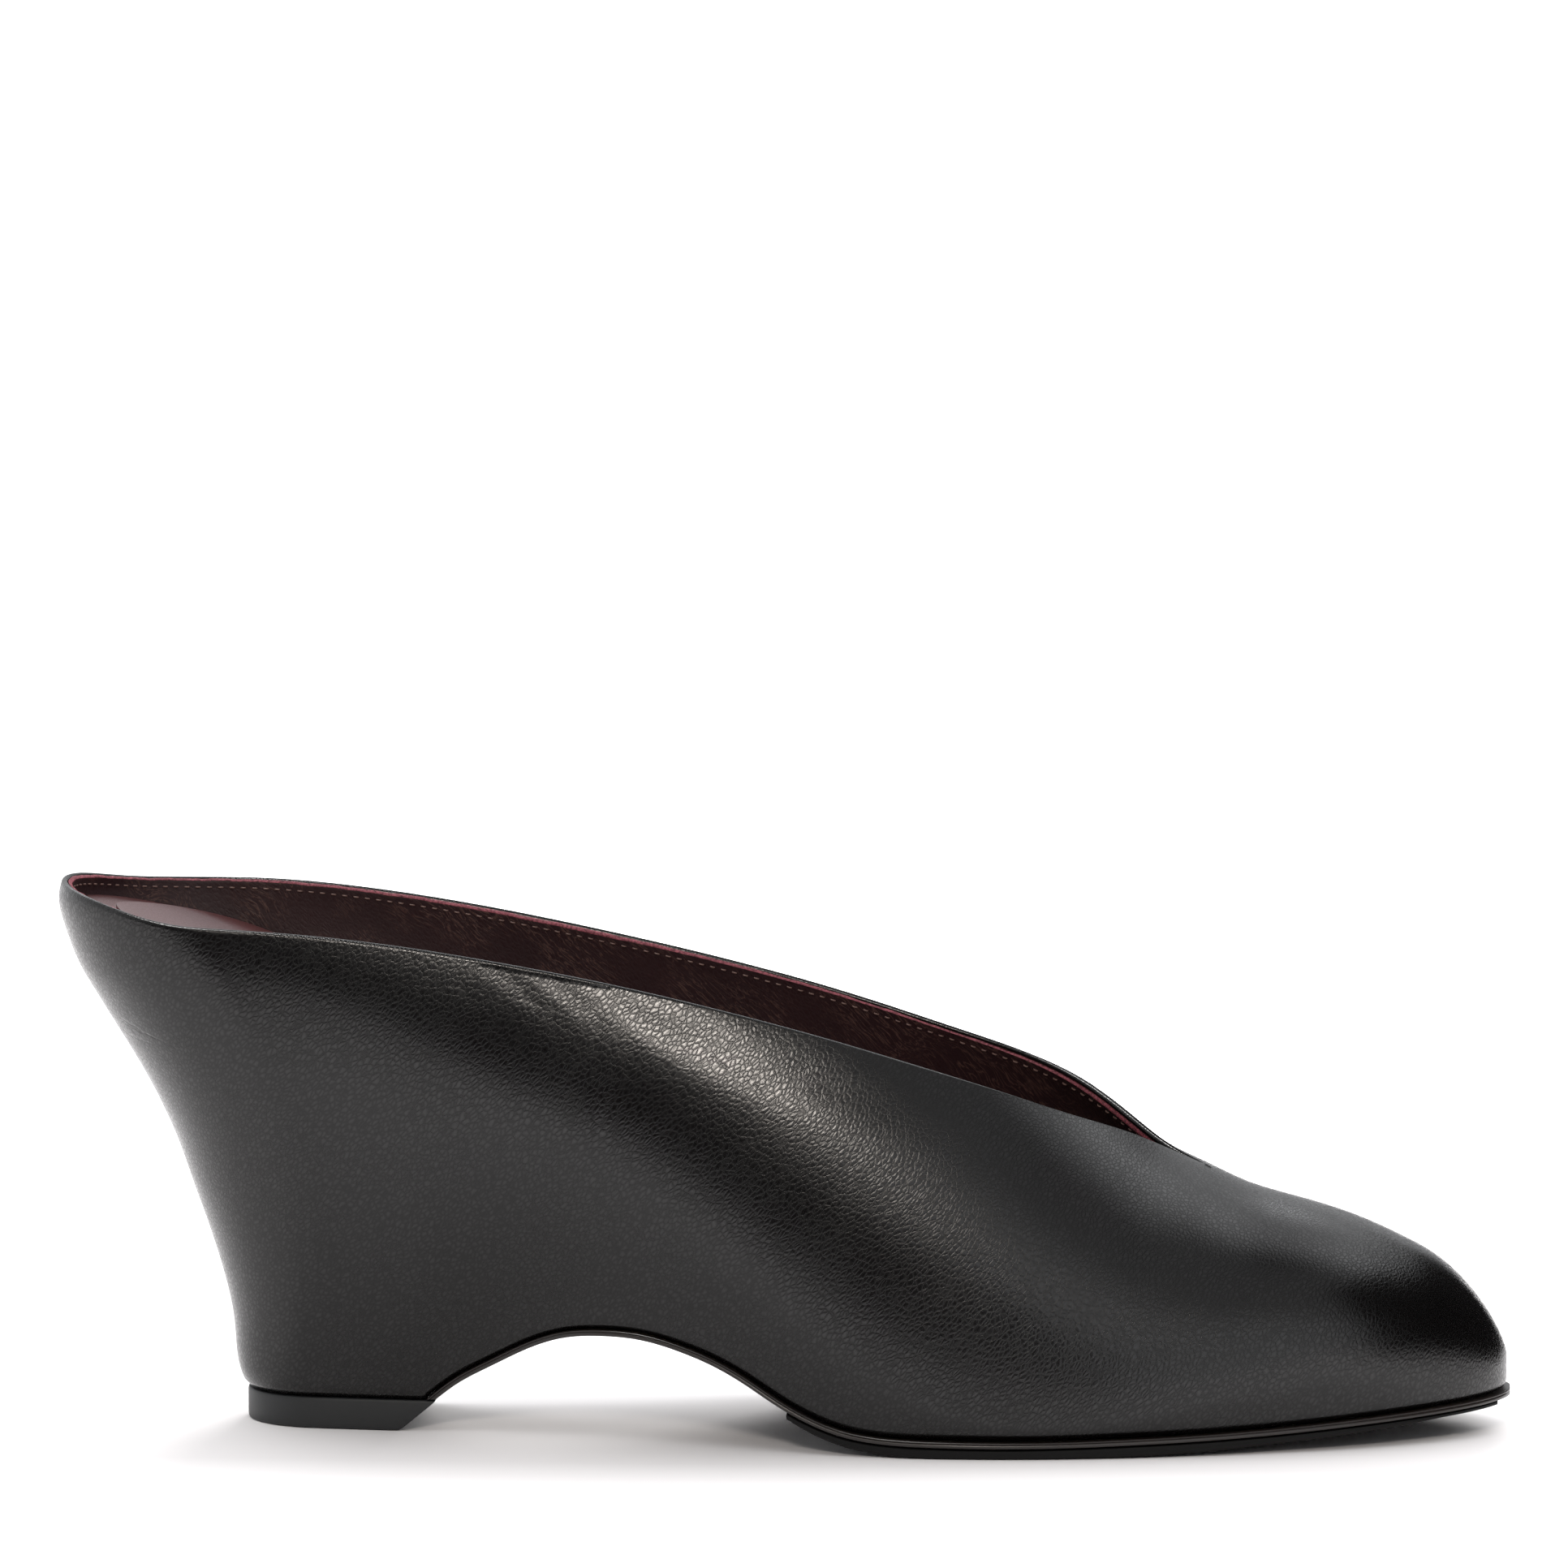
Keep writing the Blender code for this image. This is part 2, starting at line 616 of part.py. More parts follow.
def base_outline(height, front, inset):
    """D-shaped outline of the heel's foot, from the front corner round the back."""
    points = []
    back = back_at(BASE_HEIGHT) + inset / LENGTH
    for inner in (False, True):
        side = []
        for k in range(BASE_STEPS + 1):
            turn = k / BASE_STEPS
            at = back + (front - back) * turn ** 2
            sample = at - inset / LENGTH
            width = half_width(max(sample, back_at(BASE_HEIGHT)), BASE_HEIGHT, inner) - inset
            side.append((at, (1 if inner else -1) * max(width, 0.0), height))
        points.append(side)
    out, inn = points
    ring = list(reversed(out)) + inn[1:]
    ring[BASE_STEPS] = (back, 0.0, height)
    return [world(at, middle(at) + y, z) for at, y, z in ring]


def lift_object(collection):
    """Top piece under the heel, its front face slanted back like the arch above it."""
    front = level_crossing(FIT_GAP + SOLE_THICK)
    high = base_outline(LIFT_THICK, front, LIFT_INSET)
    low = base_outline(0.0, front - LIFT_SLANT / LENGTH, LIFT_INSET)
    n = len(high)
    faces = [list(range(n)), list(range(2 * n - 1, n - 1, -1))]
    faces += [[k, (k + 1) % n, n + (k + 1) % n, n + k] for k in range(n)]
    return new_object("top_lift", mesh_from("top_lift", high + low, faces), collection)


def material(name, colour, rough, coat):
    made = bpy.data.materials.new(name)
    made.use_nodes = True
    shader = made.node_tree.nodes["Principled BSDF"]
    shader.inputs["Base Color"].default_value = (*colour, 1.0)
    shader.inputs["Roughness"].default_value = rough
    shader.inputs["Coat Weight"].default_value = coat
    made.diffuse_color = (*colour, 1.0)
    return made


def build():
    for thing in list(bpy.data.objects):
        bpy.data.objects.remove(thing, do_unlink=True)
    shoe = bpy.data.collections.new("wedge_mule")
    cutters = bpy.data.collections.new("cutters")
    bpy.context.scene.collection.children.link(shoe)
    bpy.context.scene.collection.children.link(cutters)

    upper = new_object("upper", shell_object(), shoe)

    steps = along_steps(-OVERRUN, 1 + OVERRUN, BAND_STEPS)
    top_line = [(at, footbed(at)) for at in steps]
    low_line = [(at, footbed(at) - INSOLE_THICK - sink(at)) for at in steps]
    bed = slab("footbed_band", top_line + list(reversed(low_line)), cutters)
    insole = new_object("insole", mesh_from("insole", *core_mesh(WALL + FIT_GAP)), shoe)
    cut(insole, bed, "INTERSECT")

    block_steps = along_steps(-OVERRUN, WEDGE_TO, BLOCK_STEPS)
    under = [(at, footbed(at) - INSOLE_THICK - FIT_GAP) for at in block_steps]
    under += [(WEDGE_TO, -BASE_HEIGHT), (-OVERRUN, -BASE_HEIGHT)]
    block = slab("wedge_block", under, cutters)
    wedge = new_object("heel_wedge", mesh_from("heel_wedge", *core_mesh(WALL + FIT_GAP)), shoe)
    cut(wedge, block, "INTERSECT")

    pad_steps = along_steps(SOCK_FROM, SOCK_TO, SOCK_STEPS)
    pad_low = [(at, footbed(at) + FIT_GAP) for at in pad_steps]
    pad_high = [(at, footbed(at) + FIT_GAP + SOCK_THICK) for at in reversed(pad_steps)]
    band = slab("sock_band", pad_low + pad_high, cutters)
    core = mesh_from("sock_pad", *core_mesh(WALL + FIT_GAP + SOCK_INSET))
    sock = new_object("sock_pad", core, shoe)
    cut(sock, band, "INTERSECT")

    outsole = sole_object(shoe)
    tread = tread_object(shoe)
    lift = lift_object(shoe)

    black = material("black_nappa", (0.012, 0.011, 0.012), 0.34, 0.15)
    wine = material("wine_leather", (0.055, 0.012, 0.016), 0.38, 0.10)
    edge = material("crimson_pad", (0.090, 0.018, 0.028), 0.45, 0.0)
    board = material("wedge_core", (0.050, 0.045, 0.040), 0.70, 0.0)
    sole_black = material("sole_leather", (0.016, 0.012, 0.010), 0.30, 0.20)
    rubber = material("tread_rubber", (0.014, 0.014, 0.015), 0.50, 0.0)
    tip_rubber = material("lift_rubber", (0.016, 0.018, 0.020), 0.55, 0.0)
    pairs = ((upper, black), (insole, wine), (sock, edge), (wedge, board),
             (outsole, sole_black), (tread, rubber), (lift, tip_rubber))
    for thing, look in pairs:
        thing.data.materials.append(look)


build()
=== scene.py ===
# %% [markdown]
# # A black wedge mule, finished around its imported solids
# The shoe is a mule: a shoe with no back strap, held on by its snug vamp. One piece of smooth black
# leather wraps the whole body, from the toe over the foot and down a wedge heel that is cut away under
# the arch. The solids of the shoe already exist with their true sizes. This lesson loads them as a fixed
# frame and puts the finish on: fine surfaces, folded edges, stitches, leather grain and a studio.

# %% Load the frame
import math

import bmesh
import bpy
import numpy as np
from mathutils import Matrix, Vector


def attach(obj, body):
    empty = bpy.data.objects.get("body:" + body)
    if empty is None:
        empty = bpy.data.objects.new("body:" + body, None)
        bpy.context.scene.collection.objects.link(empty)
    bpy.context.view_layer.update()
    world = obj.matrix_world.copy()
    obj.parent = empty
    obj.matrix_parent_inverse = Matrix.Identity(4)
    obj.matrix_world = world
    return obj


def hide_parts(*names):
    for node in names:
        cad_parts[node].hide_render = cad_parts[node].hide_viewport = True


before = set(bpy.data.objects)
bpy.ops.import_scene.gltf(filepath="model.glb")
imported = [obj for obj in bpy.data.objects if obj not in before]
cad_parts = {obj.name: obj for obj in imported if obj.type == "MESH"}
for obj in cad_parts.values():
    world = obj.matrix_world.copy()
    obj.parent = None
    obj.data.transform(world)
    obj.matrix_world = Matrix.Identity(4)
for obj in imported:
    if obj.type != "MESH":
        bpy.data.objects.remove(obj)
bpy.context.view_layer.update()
print("nodes:", sorted(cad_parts))

# %% [markdown]
# ## The camera
# The photograph was taken from the outer side with a long lens, almost level, so the shoe has hardly any
# perspective. A camera is placed by its bearing, its height angle and the point that it aims at. With a
# lens this long a step back and a longer lens give the same picture, so both numbers are kept together.

# %% Camera at the photograph's angle
MM = 0.001
CAMERA_BEARING = math.radians(4.0)
CAMERA_RISE = math.radians(6.5)
CAMERA_DISTANCE = 1.8
CAMERA_AIM = Vector((0.07485, 0.0, 0.1059))
LENS_MM = 251.6

camera_way = Vector((
    math.sin(CAMERA_BEARING) * math.cos(CAMERA_RISE),
    -math.cos(CAMERA_BEARING) * math.cos(CAMERA_RISE),
    math.sin(CAMERA_RISE),
))
camera_data = bpy.data.cameras.new("side_camera")
camera_data.lens = LENS_MM
camera_data.sensor_width = 36.0
camera_data.clip_end = 60.0
camera = bpy.data.objects.new("side_camera", camera_data)
camera.location = CAMERA_AIM + CAMERA_DISTANCE * camera_way
camera.rotation_mode = "QUATERNION"
camera.rotation_quaternion = (-camera_way).to_track_quat("-Z", "Y")
bpy.context.scene.collection.objects.link(camera)
bpy.context.scene.camera = camera
print("camera at", [round(v, 3) for v in camera.location])

# %% [markdown]
# ## Curves through a few chosen rows
# A last, the form that a shoe is made on, is described here by short tables: each row is a place along
# the shoe and the size there. A natural cubic curve runs through the rows, which bends evenly, as a
# wooden spline does between weights. The same tables drive the solids, so the fine surfaces lie on them.

# %% A smooth line through a table
def smooth_line(rows, column=1):
    """Function of the first column that runs smoothly through another column of a table."""
    xs = np.array([row[0] for row in rows])
    ys = np.array([row[column] for row in rows])
    steps = np.diff(xs)
    count = len(xs)
    left = np.eye(count)
    right = np.zeros(count)
    for i in range(1, count - 1):
        left[i, i - 1:i + 2] = steps[i - 1], 2 * (steps[i - 1] + steps[i]), steps[i]
        right[i] = 6 * ((ys[i + 1] - ys[i]) / steps[i] - (ys[i] - ys[i - 1]) / steps[i - 1])
    bend = np.linalg.solve(left, right)

    def value(at):
        at = np.clip(at, xs[0], xs[-1])
        i = np.clip(np.searchsorted(xs, at) - 1, 0, count - 2)
        h, t, u = steps[i], at - xs[i], xs[i + 1] - at
        curved = (bend[i] * u ** 3 + bend[i + 1] * t ** 3) / (6 * h)
        return curved + (ys[i] / h - bend[i] * h / 6) * u + (ys[i + 1] / h - bend[i + 1] * h / 6) * t
    return value


# %% Sizes of the last, in metres, and places as shares of its length
LENGTH = 0.2396
BALL_WIDTH = 0.0750
HEEL_HEIGHT = 0.0868
INSTEP_HEIGHT = 0.0433
BASE_WIDTH = 0.0300
BACK_OVERHANG = 0.0452
FIT_GAP = 0.0003
LIFT_THICK = 0.0052
TIP_AT = 1.0 - 0.0004 / LENGTH
THROAT_AT = 0.7905
RIM_BACK_AT = 0.0034
BREAST_AT = 0.2580
CREST_AT = 0.3820
BASE_HEIGHT = LIFT_THICK + FIT_GAP

# %% Side view of the shoe: arch line, back line, collar, ridge
CREASE = (  # along, height as a share of the heel height
    (0.2580, 0.0635), (0.2775, 0.1060), (0.3022, 0.1450), (0.3300, 0.1850),
    (0.3560, 0.2105), (0.3827, 0.2190), (0.4130, 0.2150), (0.4395, 0.1970),
    (0.4620, 0.1740), (0.4846, 0.1420), (0.5070, 0.1040), (0.5296, 0.0720),
    (0.5522, 0.0510), (0.5780, 0.0405), (0.6150, 0.0368), (0.6680, 0.0358),
    (0.7510, 0.0407), (0.8350, 0.0494), (0.9220, 0.0652), (1.0000, 0.0790),
)
BACK_LINE = (  # height as a share of the heel height, along
    (0.0635, 0.1290), (0.0840, 0.1257), (0.1780, 0.1207), (0.2900, 0.1125),
    (0.3700, 0.1035), (0.4600, 0.0920), (0.5370, 0.0822), (0.6060, 0.0712),
    (0.6920, 0.0545), (0.7700, 0.0370), (0.8190, 0.0262), (0.8700, 0.0152),
    (0.9100, 0.0090), (0.9550, 0.0035), (1.0000, 0.0006), (1.0350, 0.0034),
)
RIM = (  # along, height out, height in (shares of the heel height)
    (0.0034, 1.0345, 1.0345), (0.0150, 1.0270, 1.0240), (0.0370, 1.0120, 1.0090),
    (0.0600, 0.9960, 1.0020), (0.0840, 0.9820, 0.9990), (0.1250, 0.9730, 0.9975),
    (0.1960, 0.9600, 0.9830), (0.2500, 0.9430, 0.9630), (0.3130, 0.9160, 0.9330),
    (0.3840, 0.8800, 0.8930), (0.4600, 0.8330, 0.8440), (0.5420, 0.7730, 0.7830),
    (0.6130, 0.7120, 0.7230), (0.6680, 0.6590, 0.6760), (0.7070, 0.6150, 0.6310),
    (0.7420, 0.5715, 0.5715), (0.7660, 0.5335, 0.5310), (0.7800, 0.5132, 0.5122),
    (0.7905, 0.4988, 0.4988), (0.8183, 0.4610, 0.4610),
)
RIDGE = (  # root of the way from tip to throat, height as a share of the instep height
    (0.0000, 0.2700), (0.0700, 0.3040), (0.1500, 0.3550), (0.2200, 0.4110),
    (0.3200, 0.5000), (0.4000, 0.5730), (0.5000, 0.6560), (0.6000, 0.7220),
    (0.7000, 0.7880), (0.8000, 0.8460), (0.8700, 0.8840), (0.9300, 0.9250),
    (1.0000, 1.0000), (1.0600, 1.0660),
)

# %% Top view and sections: spread of the collar, half widths, middle line, footbed
RIM_SPREAD = (  # along, out, in (shares of the ball width)
    (0.0000, 0.3520, 0.3520), (0.2000, 0.3530, 0.3530), (0.3130, 0.3500, 0.3500),
    (0.3840, 0.3500, 0.3490), (0.4600, 0.3500, 0.3500), (0.5420, 0.3430, 0.3430),
    (0.6130, 0.3180, 0.3210), (0.6680, 0.2720, 0.2780), (0.7070, 0.2060, 0.2100),
    (0.7420, 0.1130, 0.1130), (0.7660, 0.0380, 0.0380), (0.7790, 0.0140, 0.0140),
    (0.7905, 0.0010, 0.0010),
)
TOE_SECTIONS = (  # root, out, in, foot_out, foot_in, belly, full
    (0.00, 0.000, 0.000, 0.950, 0.950, 0.42, 2.2),
    (0.15, 0.077, 0.080, 0.950, 0.950, 0.41, 2.2),
    (0.30, 0.152, 0.158, 0.950, 0.950, 0.40, 2.3),
    (0.45, 0.224, 0.234, 0.950, 0.950, 0.38, 2.4),
    (0.60, 0.291, 0.305, 0.955, 0.955, 0.34, 2.4),
    (0.75, 0.350, 0.366, 0.960, 0.960, 0.28, 2.35),
    (0.90, 0.403, 0.415, 0.965, 0.965, 0.19, 2.2),
    (1.00, 0.437, 0.442, 0.970, 0.970, 0.12, 2.1),
    (1.15, 0.475, 0.465, 0.975, 0.975, 0.05, 2.05),
)
BODY_SECTIONS = (  # along, out, in, foot_out, foot_in, belly, full
    (0.0000, 0.3560, 0.3560, 0.450, 0.450, 0.90, 2.0),
    (0.1300, 0.3600, 0.3600, 0.460, 0.460, 0.90, 2.0),
    (0.1900, 0.3660, 0.3650, 0.490, 0.490, 0.87, 2.0),
    (0.2500, 0.3740, 0.3700, 0.535, 0.535, 0.81, 2.0),
    (0.3130, 0.3840, 0.3760, 0.630, 0.620, 0.70, 2.0),
    (0.3840, 0.4020, 0.3850, 0.800, 0.780, 0.58, 2.0),
    (0.4600, 0.4330, 0.4000, 0.890, 0.870, 0.42, 2.0),
    (0.5420, 0.4740, 0.4260, 0.945, 0.925, 0.25, 2.0),
    (0.6130, 0.4950, 0.4500, 0.970, 0.960, 0.09, 2.0),
    (0.6680, 0.4930, 0.4660, 0.975, 0.970, 0.04, 2.0),
    (0.7250, 0.4750, 0.4650, 0.975, 0.975, 0.05, 2.05),
    (0.7905, 0.4370, 0.4420, 0.970, 0.970, 0.12, 2.1),
    (0.8296, 0.4030, 0.4150, 0.965, 0.965, 0.19, 2.2),
)
MIDDLE = (  # along, shift to the inner side as a share of the ball width
    (0.000, 0.000), (0.300, -0.004), (0.500, 0.004), (0.660, 0.014),
    (0.790, 0.027), (0.900, 0.038), (1.000, 0.046),
)
FOOTBED = (  # along, height as a share of the heel height
    (0.0000, 0.9960), (0.0263, 0.9790), (0.0630, 0.9510), (0.1050, 0.9150),
    (0.1400, 0.8810), (0.1900, 0.8190), (0.2500, 0.7230), (0.3130, 0.6020),
    (0.3840, 0.4560), (0.4600, 0.2900), (0.5220, 0.1720), (0.5760, 0.0980),
    (0.6200, 0.0660), (0.6680, 0.0618), (0.7510, 0.0662), (0.8350, 0.0749),
    (0.9220, 0.0907), (1.0000, 0.1045),
)
TREAD_FACE = (  # along, height as a share of the heel height
    (0.5000, 0.0920), (0.5296, 0.0430), (0.5522, 0.0185), (0.5740, 0.0065),
    (0.5950, 0.0008), (0.6050, 0.0000), (0.6680, 0.0000), (0.6800, 0.0002),
    (0.7080, 0.0010), (0.7510, 0.0034), (0.7930, 0.0080), (0.8350, 0.0160),
    (0.8810, 0.0262), (0.9220, 0.0372), (0.9550, 0.0472), (1.0000, 0.0620),
)

# %% The tables as lines
crease_line = smooth_line(CREASE)
back_line = smooth_line(BACK_LINE)
rim_lines = {False: smooth_line(RIM, 1), True: smooth_line(RIM, 2)}
spread_lines = {False: smooth_line(RIM_SPREAD, 1), True: smooth_line(RIM_SPREAD, 2)}
ridge_line = smooth_line(RIDGE)
middle_line = smooth_line(MIDDLE)
toe_lines = [smooth_line(TOE_SECTIONS, k) for k in range(1, 7)]
body_lines = [smooth_line(BODY_SECTIONS, k) for k in range(1, 7)]
bed_line = smooth_line(FOOTBED)
tread_line = smooth_line(TREAD_FACE)


def crease(at):
    """Height of the upper's lower edge, which runs level behind the arch."""
    height = np.maximum(HEEL_HEIGHT * crease_line(at), np.where(at < CREST_AT, BASE_HEIGHT, 0.0))
    return np.where(at <= BREAST_AT, BASE_HEIGHT, height)


def back_at(height):
    return back_line(height / HEEL_HEIGHT)


def toe_root(at):
    return np.sqrt(np.maximum(TIP_AT - at, 0.0) / (TIP_AT - THROAT_AT))


def footbed(at):
    return HEEL_HEIGHT * bed_line(at)


# %% [markdown]
# ## The outside of the upper
# Each upright section of a shoe has a narrow foot, swells to a belly and closes over the top. A half
# width is therefore a function of the place along the shoe and the height. The wall lines fan out from
# the arch round the heel, as the leather does when it is pulled over the wedge, so the mesh has no
# pinched corner where the collar ends above the narrow heel base.

# %% Half width of the shoe at a place and height
BASE_FOOT_AT = 0.1800
BASE_BACK_SHARE = 0.44
BACK_REACH = 1.02
TUCK = 1.25


def half_width(at, height, inner):
    side = 1 if inner else 0
    toe = at >= THROAT_AT
    root = toe_root(at)
    wide, foot_share, belly, full = (
        np.where(toe, toe_lines[k](root), body_lines[k](at)) for k in (side, side + 2, 4, 5)
    )
    top = np.where(toe, INSTEP_HEIGHT * ridge_line(root), HEEL_HEIGHT * rim_lines[inner](at))
    spread = np.where(toe, 0.0, BALL_WIDTH * np.maximum(spread_lines[inner](at), 0.0))
    wide = BALL_WIDTH * wide
    breast_foot = BALL_WIDTH * body_lines[side](BREAST_AT) * body_lines[side + 2](BREAST_AT)
    narrow = BASE_WIDTH * BASE_BACK_SHARE
    widening = np.clip((at - BASE_FOOT_AT) / (BREAST_AT - BASE_FOOT_AT), 0.0, 1.0)
    foot = np.where(at < BREAST_AT, narrow + (breast_foot - narrow) * widening, wide * foot_share)
    low = crease(at)
    rise = (height - low) / np.maximum(top - low, 1e-6)
    swell = np.sin(0.5 * np.pi * np.clip(rise, 0.0, belly) / belly) ** TUCK
    kept = np.minimum(spread / np.maximum(wide, 1e-9), 0.999)
    reach = (1 - kept ** full) ** (1 / full)
    over = np.clip(reach * (rise - belly) / (1 - belly), 0.0, 1.0)
    width = np.where(rise <= belly, foot + (wide - foot) * swell, wide * (1 - over ** full) ** (1 / full))
    closing = BACK_REACH * np.maximum(width, 0.4 * BASE_WIDTH) / LENGTH
    near = np.clip((at - back_at(height)) / closing, 0.0, 1.0)
    rounded = np.where(at < THROAT_AT, np.sqrt(np.maximum(1 - (1 - near) ** 2, 0.0)), 1.0)
    return width * rounded


# %% Wall lines from the crease to the collar
BASE_SHARE = 0.62


def foot_of(turn):
    """Foot of a wall line that tops out behind the arch's crest."""
    back = back_at(BASE_HEIGHT)
    share = np.minimum(turn / BASE_SHARE, 1.0)
    round_base = back + (BREAST_AT - back) * (1 - np.cos(0.5 * np.pi * share))
    share = np.maximum(turn - BASE_SHARE, 0.0) / (1 - BASE_SHARE)
    return np.where(turn < BASE_SHARE, round_base,
                    BREAST_AT + (CREST_AT - BREAST_AT) * (0.75 * share + 0.25 * share ** 2))


def wall_lines(toe_count, collar_count):
    """Foot and top of each wall line, from the tip of the toe round to the back."""
    root = np.linspace(0.0, 1.0, toe_count + 1)
    toe_at = TIP_AT - (TIP_AT - THROAT_AT) * root ** 2
    share = np.arange(1, collar_count + 1) / collar_count
    turn = 0.5 * (0.5 + 0.5 * np.cos(np.pi * share)) + 0.5 * (1 - share) ** 1.6
    collar_at = RIM_BACK_AT + (THROAT_AT - RIM_BACK_AT) * turn
    behind = (collar_at - RIM_BACK_AT) / (CREST_AT - RIM_BACK_AT)
    fans = behind < 1.0
    collar_foot = np.where(fans, foot_of(np.sqrt(np.clip(behind, 0.0, 1.0))), collar_at)
    follow = np.concatenate([np.zeros(toe_count + 1), np.where(fans, 1 - behind, 0.0)])
    tops = np.concatenate([toe_at, collar_at])
    feet = np.concatenate([toe_at, collar_foot])
    highs = {}
    for inner in (False, True):
        ridge = INSTEP_HEIGHT * ridge_line(root)
        highs[inner] = np.concatenate([ridge, HEEL_HEIGHT * rim_lines[inner](collar_at)])
    return feet, tops, highs, follow


def wall_grid(lines, rows, inner):
    """Points of one side: place along, half width and height, by line and row."""
    feet, tops, highs, follow = lines
    low, high = crease(feet)[:, None], highs[inner][:, None]
    foot, top = feet[:, None], tops[:, None]
    tip = half_width(tops, highs[inner], inner)[:, None]
    middle = half_width(0.5 * (foot + top), 0.5 * (low + high), inner)
    closed = np.where(follow[:, None] == 0.0, 1 - np.minimum(tip / np.maximum(middle, 1e-5), 1) ** 2, 0.0)
    even = np.linspace(0.0, 1.0, rows + 1)[None, :]
    share = (1 - closed) * even + closed * np.sin(0.5 * np.pi * even)
    height = low + (high - low) * share
    bow = back_at(height) - (back_at(low) + (back_at(high) - back_at(low)) * share)
    at = foot + (top - foot) * share + follow[:, None] * bow
    width = half_width(at, height, inner)
    width[:, -1] = tip[:, 0]
    return at, width, height


# %% One sheet from both sides
def face_normals(points, faces):
    """Unit directions at the corners of a sheet of quads, area weighted."""
    quads = points[faces]
    across = np.cross(quads[:, 2] - quads[:, 0], quads[:, 3] - quads[:, 1])
    total = np.zeros_like(points)
    for k in range(4):
        np.add.at(total, faces[:, k], across)
    return total / np.maximum(np.linalg.norm(total, axis=1), 1e-12)[:, None]


class Sheet:
    """Outside of the upper as quads, with its rim and foot loops."""

    def __init__(self, toe_count, collar_count, rows):
        lines = wall_lines(toe_count, collar_count)
        self.rows = rows
        self.last = toe_count + collar_count
        self.throat = toe_count
        grids = {inner: wall_grid(lines, rows, inner) for inner in (False, True)}
        self.index = np.zeros((2, self.last + 1, rows + 1), dtype=int)
        count = (self.last + 1) * (rows + 1)
        self.index[0] = np.arange(count).reshape(self.last + 1, rows + 1)
        self.index[1] = self.index[0] + count
        at = np.stack([grids[False][0], grids[True][0]])
        width = np.stack([-grids[False][1], grids[True][1]])
        height = np.stack([grids[False][2], grids[True][2]])
        width[:, (0, -1), :] = 0.0
        width[:, :toe_count + 1, -1] = 0.0
        self.at, self.height = at.reshape(-1), height.reshape(-1)
        side = BALL_WIDTH * middle_line(self.at) + width.reshape(-1)
        self.points = np.column_stack([self.at * LENGTH - BACK_OVERHANG, side, self.height])
        self.join_sides(toe_count)
        here, next_line = self.index[:, :-1], self.index[:, 1:]
        corners = here[..., :-1], here[..., 1:], next_line[..., 1:], next_line[..., :-1]
        outer = np.stack([c[0].reshape(-1) for c in corners], axis=1)
        inner = np.stack([c[1].reshape(-1) for c in corners[::-1]], axis=1)
        self.faces = np.concatenate([outer, inner])
        self.normals = face_normals(self.points, self.faces)

    def join_sides(self, toe_count):
        """The two sides share the tip line, the back line and the ridge of the vamp."""
        for line in (0, self.last):
            self.index[1, line] = self.index[0, line]
        self.index[1, :toe_count + 1, -1] = self.index[0, :toe_count + 1, -1]

    def loop(self, row, first=0):
        """Corners along one row: outer side from the front to the back, inner side home again."""
        out = self.index[0, first:, row]
        home = self.index[1, first + 1:self.last, row][::-1]
        return np.concatenate([out, home])

    def rim(self):
        return self.loop(self.rows, self.throat)

    def foot(self):
        return self.loop(0)


TOE_LINES, COLLAR_LINES, WALL_ROWS = 40, 170, 84
sheet = Sheet(TOE_LINES, COLLAR_LINES, WALL_ROWS)
print("sheet:", len(sheet.points), "points,", len(sheet.faces), "quads")

# %% [markdown]
# ## Moving a sheet inward
# Leather has a thickness. The inner face of each layer is the outer sheet moved in along its normals.
# At the lower edge the move stays level, so all layers end on the crease line above the sole.

# %% Offset of the sheet
def moved_in(depth, points=None):
    """The outer sheet moved inward, its lower edge kept on the crease line."""
    points = sheet.points if points is None else points
    way = sheet.normals.copy()
    foot = sheet.foot()
    way[foot, 2] = 0.0
    way[foot] /= np.linalg.norm(way[foot], axis=1)[:, None]
    moved = points - depth * way
    moved[foot, 2] = crease((moved[foot, 0] + BACK_OVERHANG) / LENGTH)
    return moved


def rim_frame():
    """Along the collar: place, direction out of the leather, direction up out of the edge."""
    loop = sheet.rim()
    place = sheet.points[loop]
    out = sheet.normals[loop]
    along = np.roll(place, -1, axis=0) - np.roll(place, 1, axis=0)
    up = np.cross(out, along)
    up /= np.linalg.norm(up, axis=1)[:, None]
    below_rim = sheet.points[sheet.loop(sheet.rows - 1, sheet.throat)]
    facing = np.sign(np.sum(up * (place - below_rim), axis=1))
    up *= np.where(facing == 0, 1, facing)[:, None]
    return loop, place, out, up


rim_loop, rim_place, rim_out, rim_up = rim_frame()
rim_share = sheet.at[rim_loop]
print("collar:", round(float(np.linalg.norm(np.diff(rim_place, axis=0), axis=1).sum()) * 1000), "mm round")


# %% [markdown]
# ## Making meshes
# Two small helpers make every piece. One turns points and faces into an object, turns its faces out and
# shades it smooth. The other joins a row of closed rings into a solid, like the hoops of a barrel.

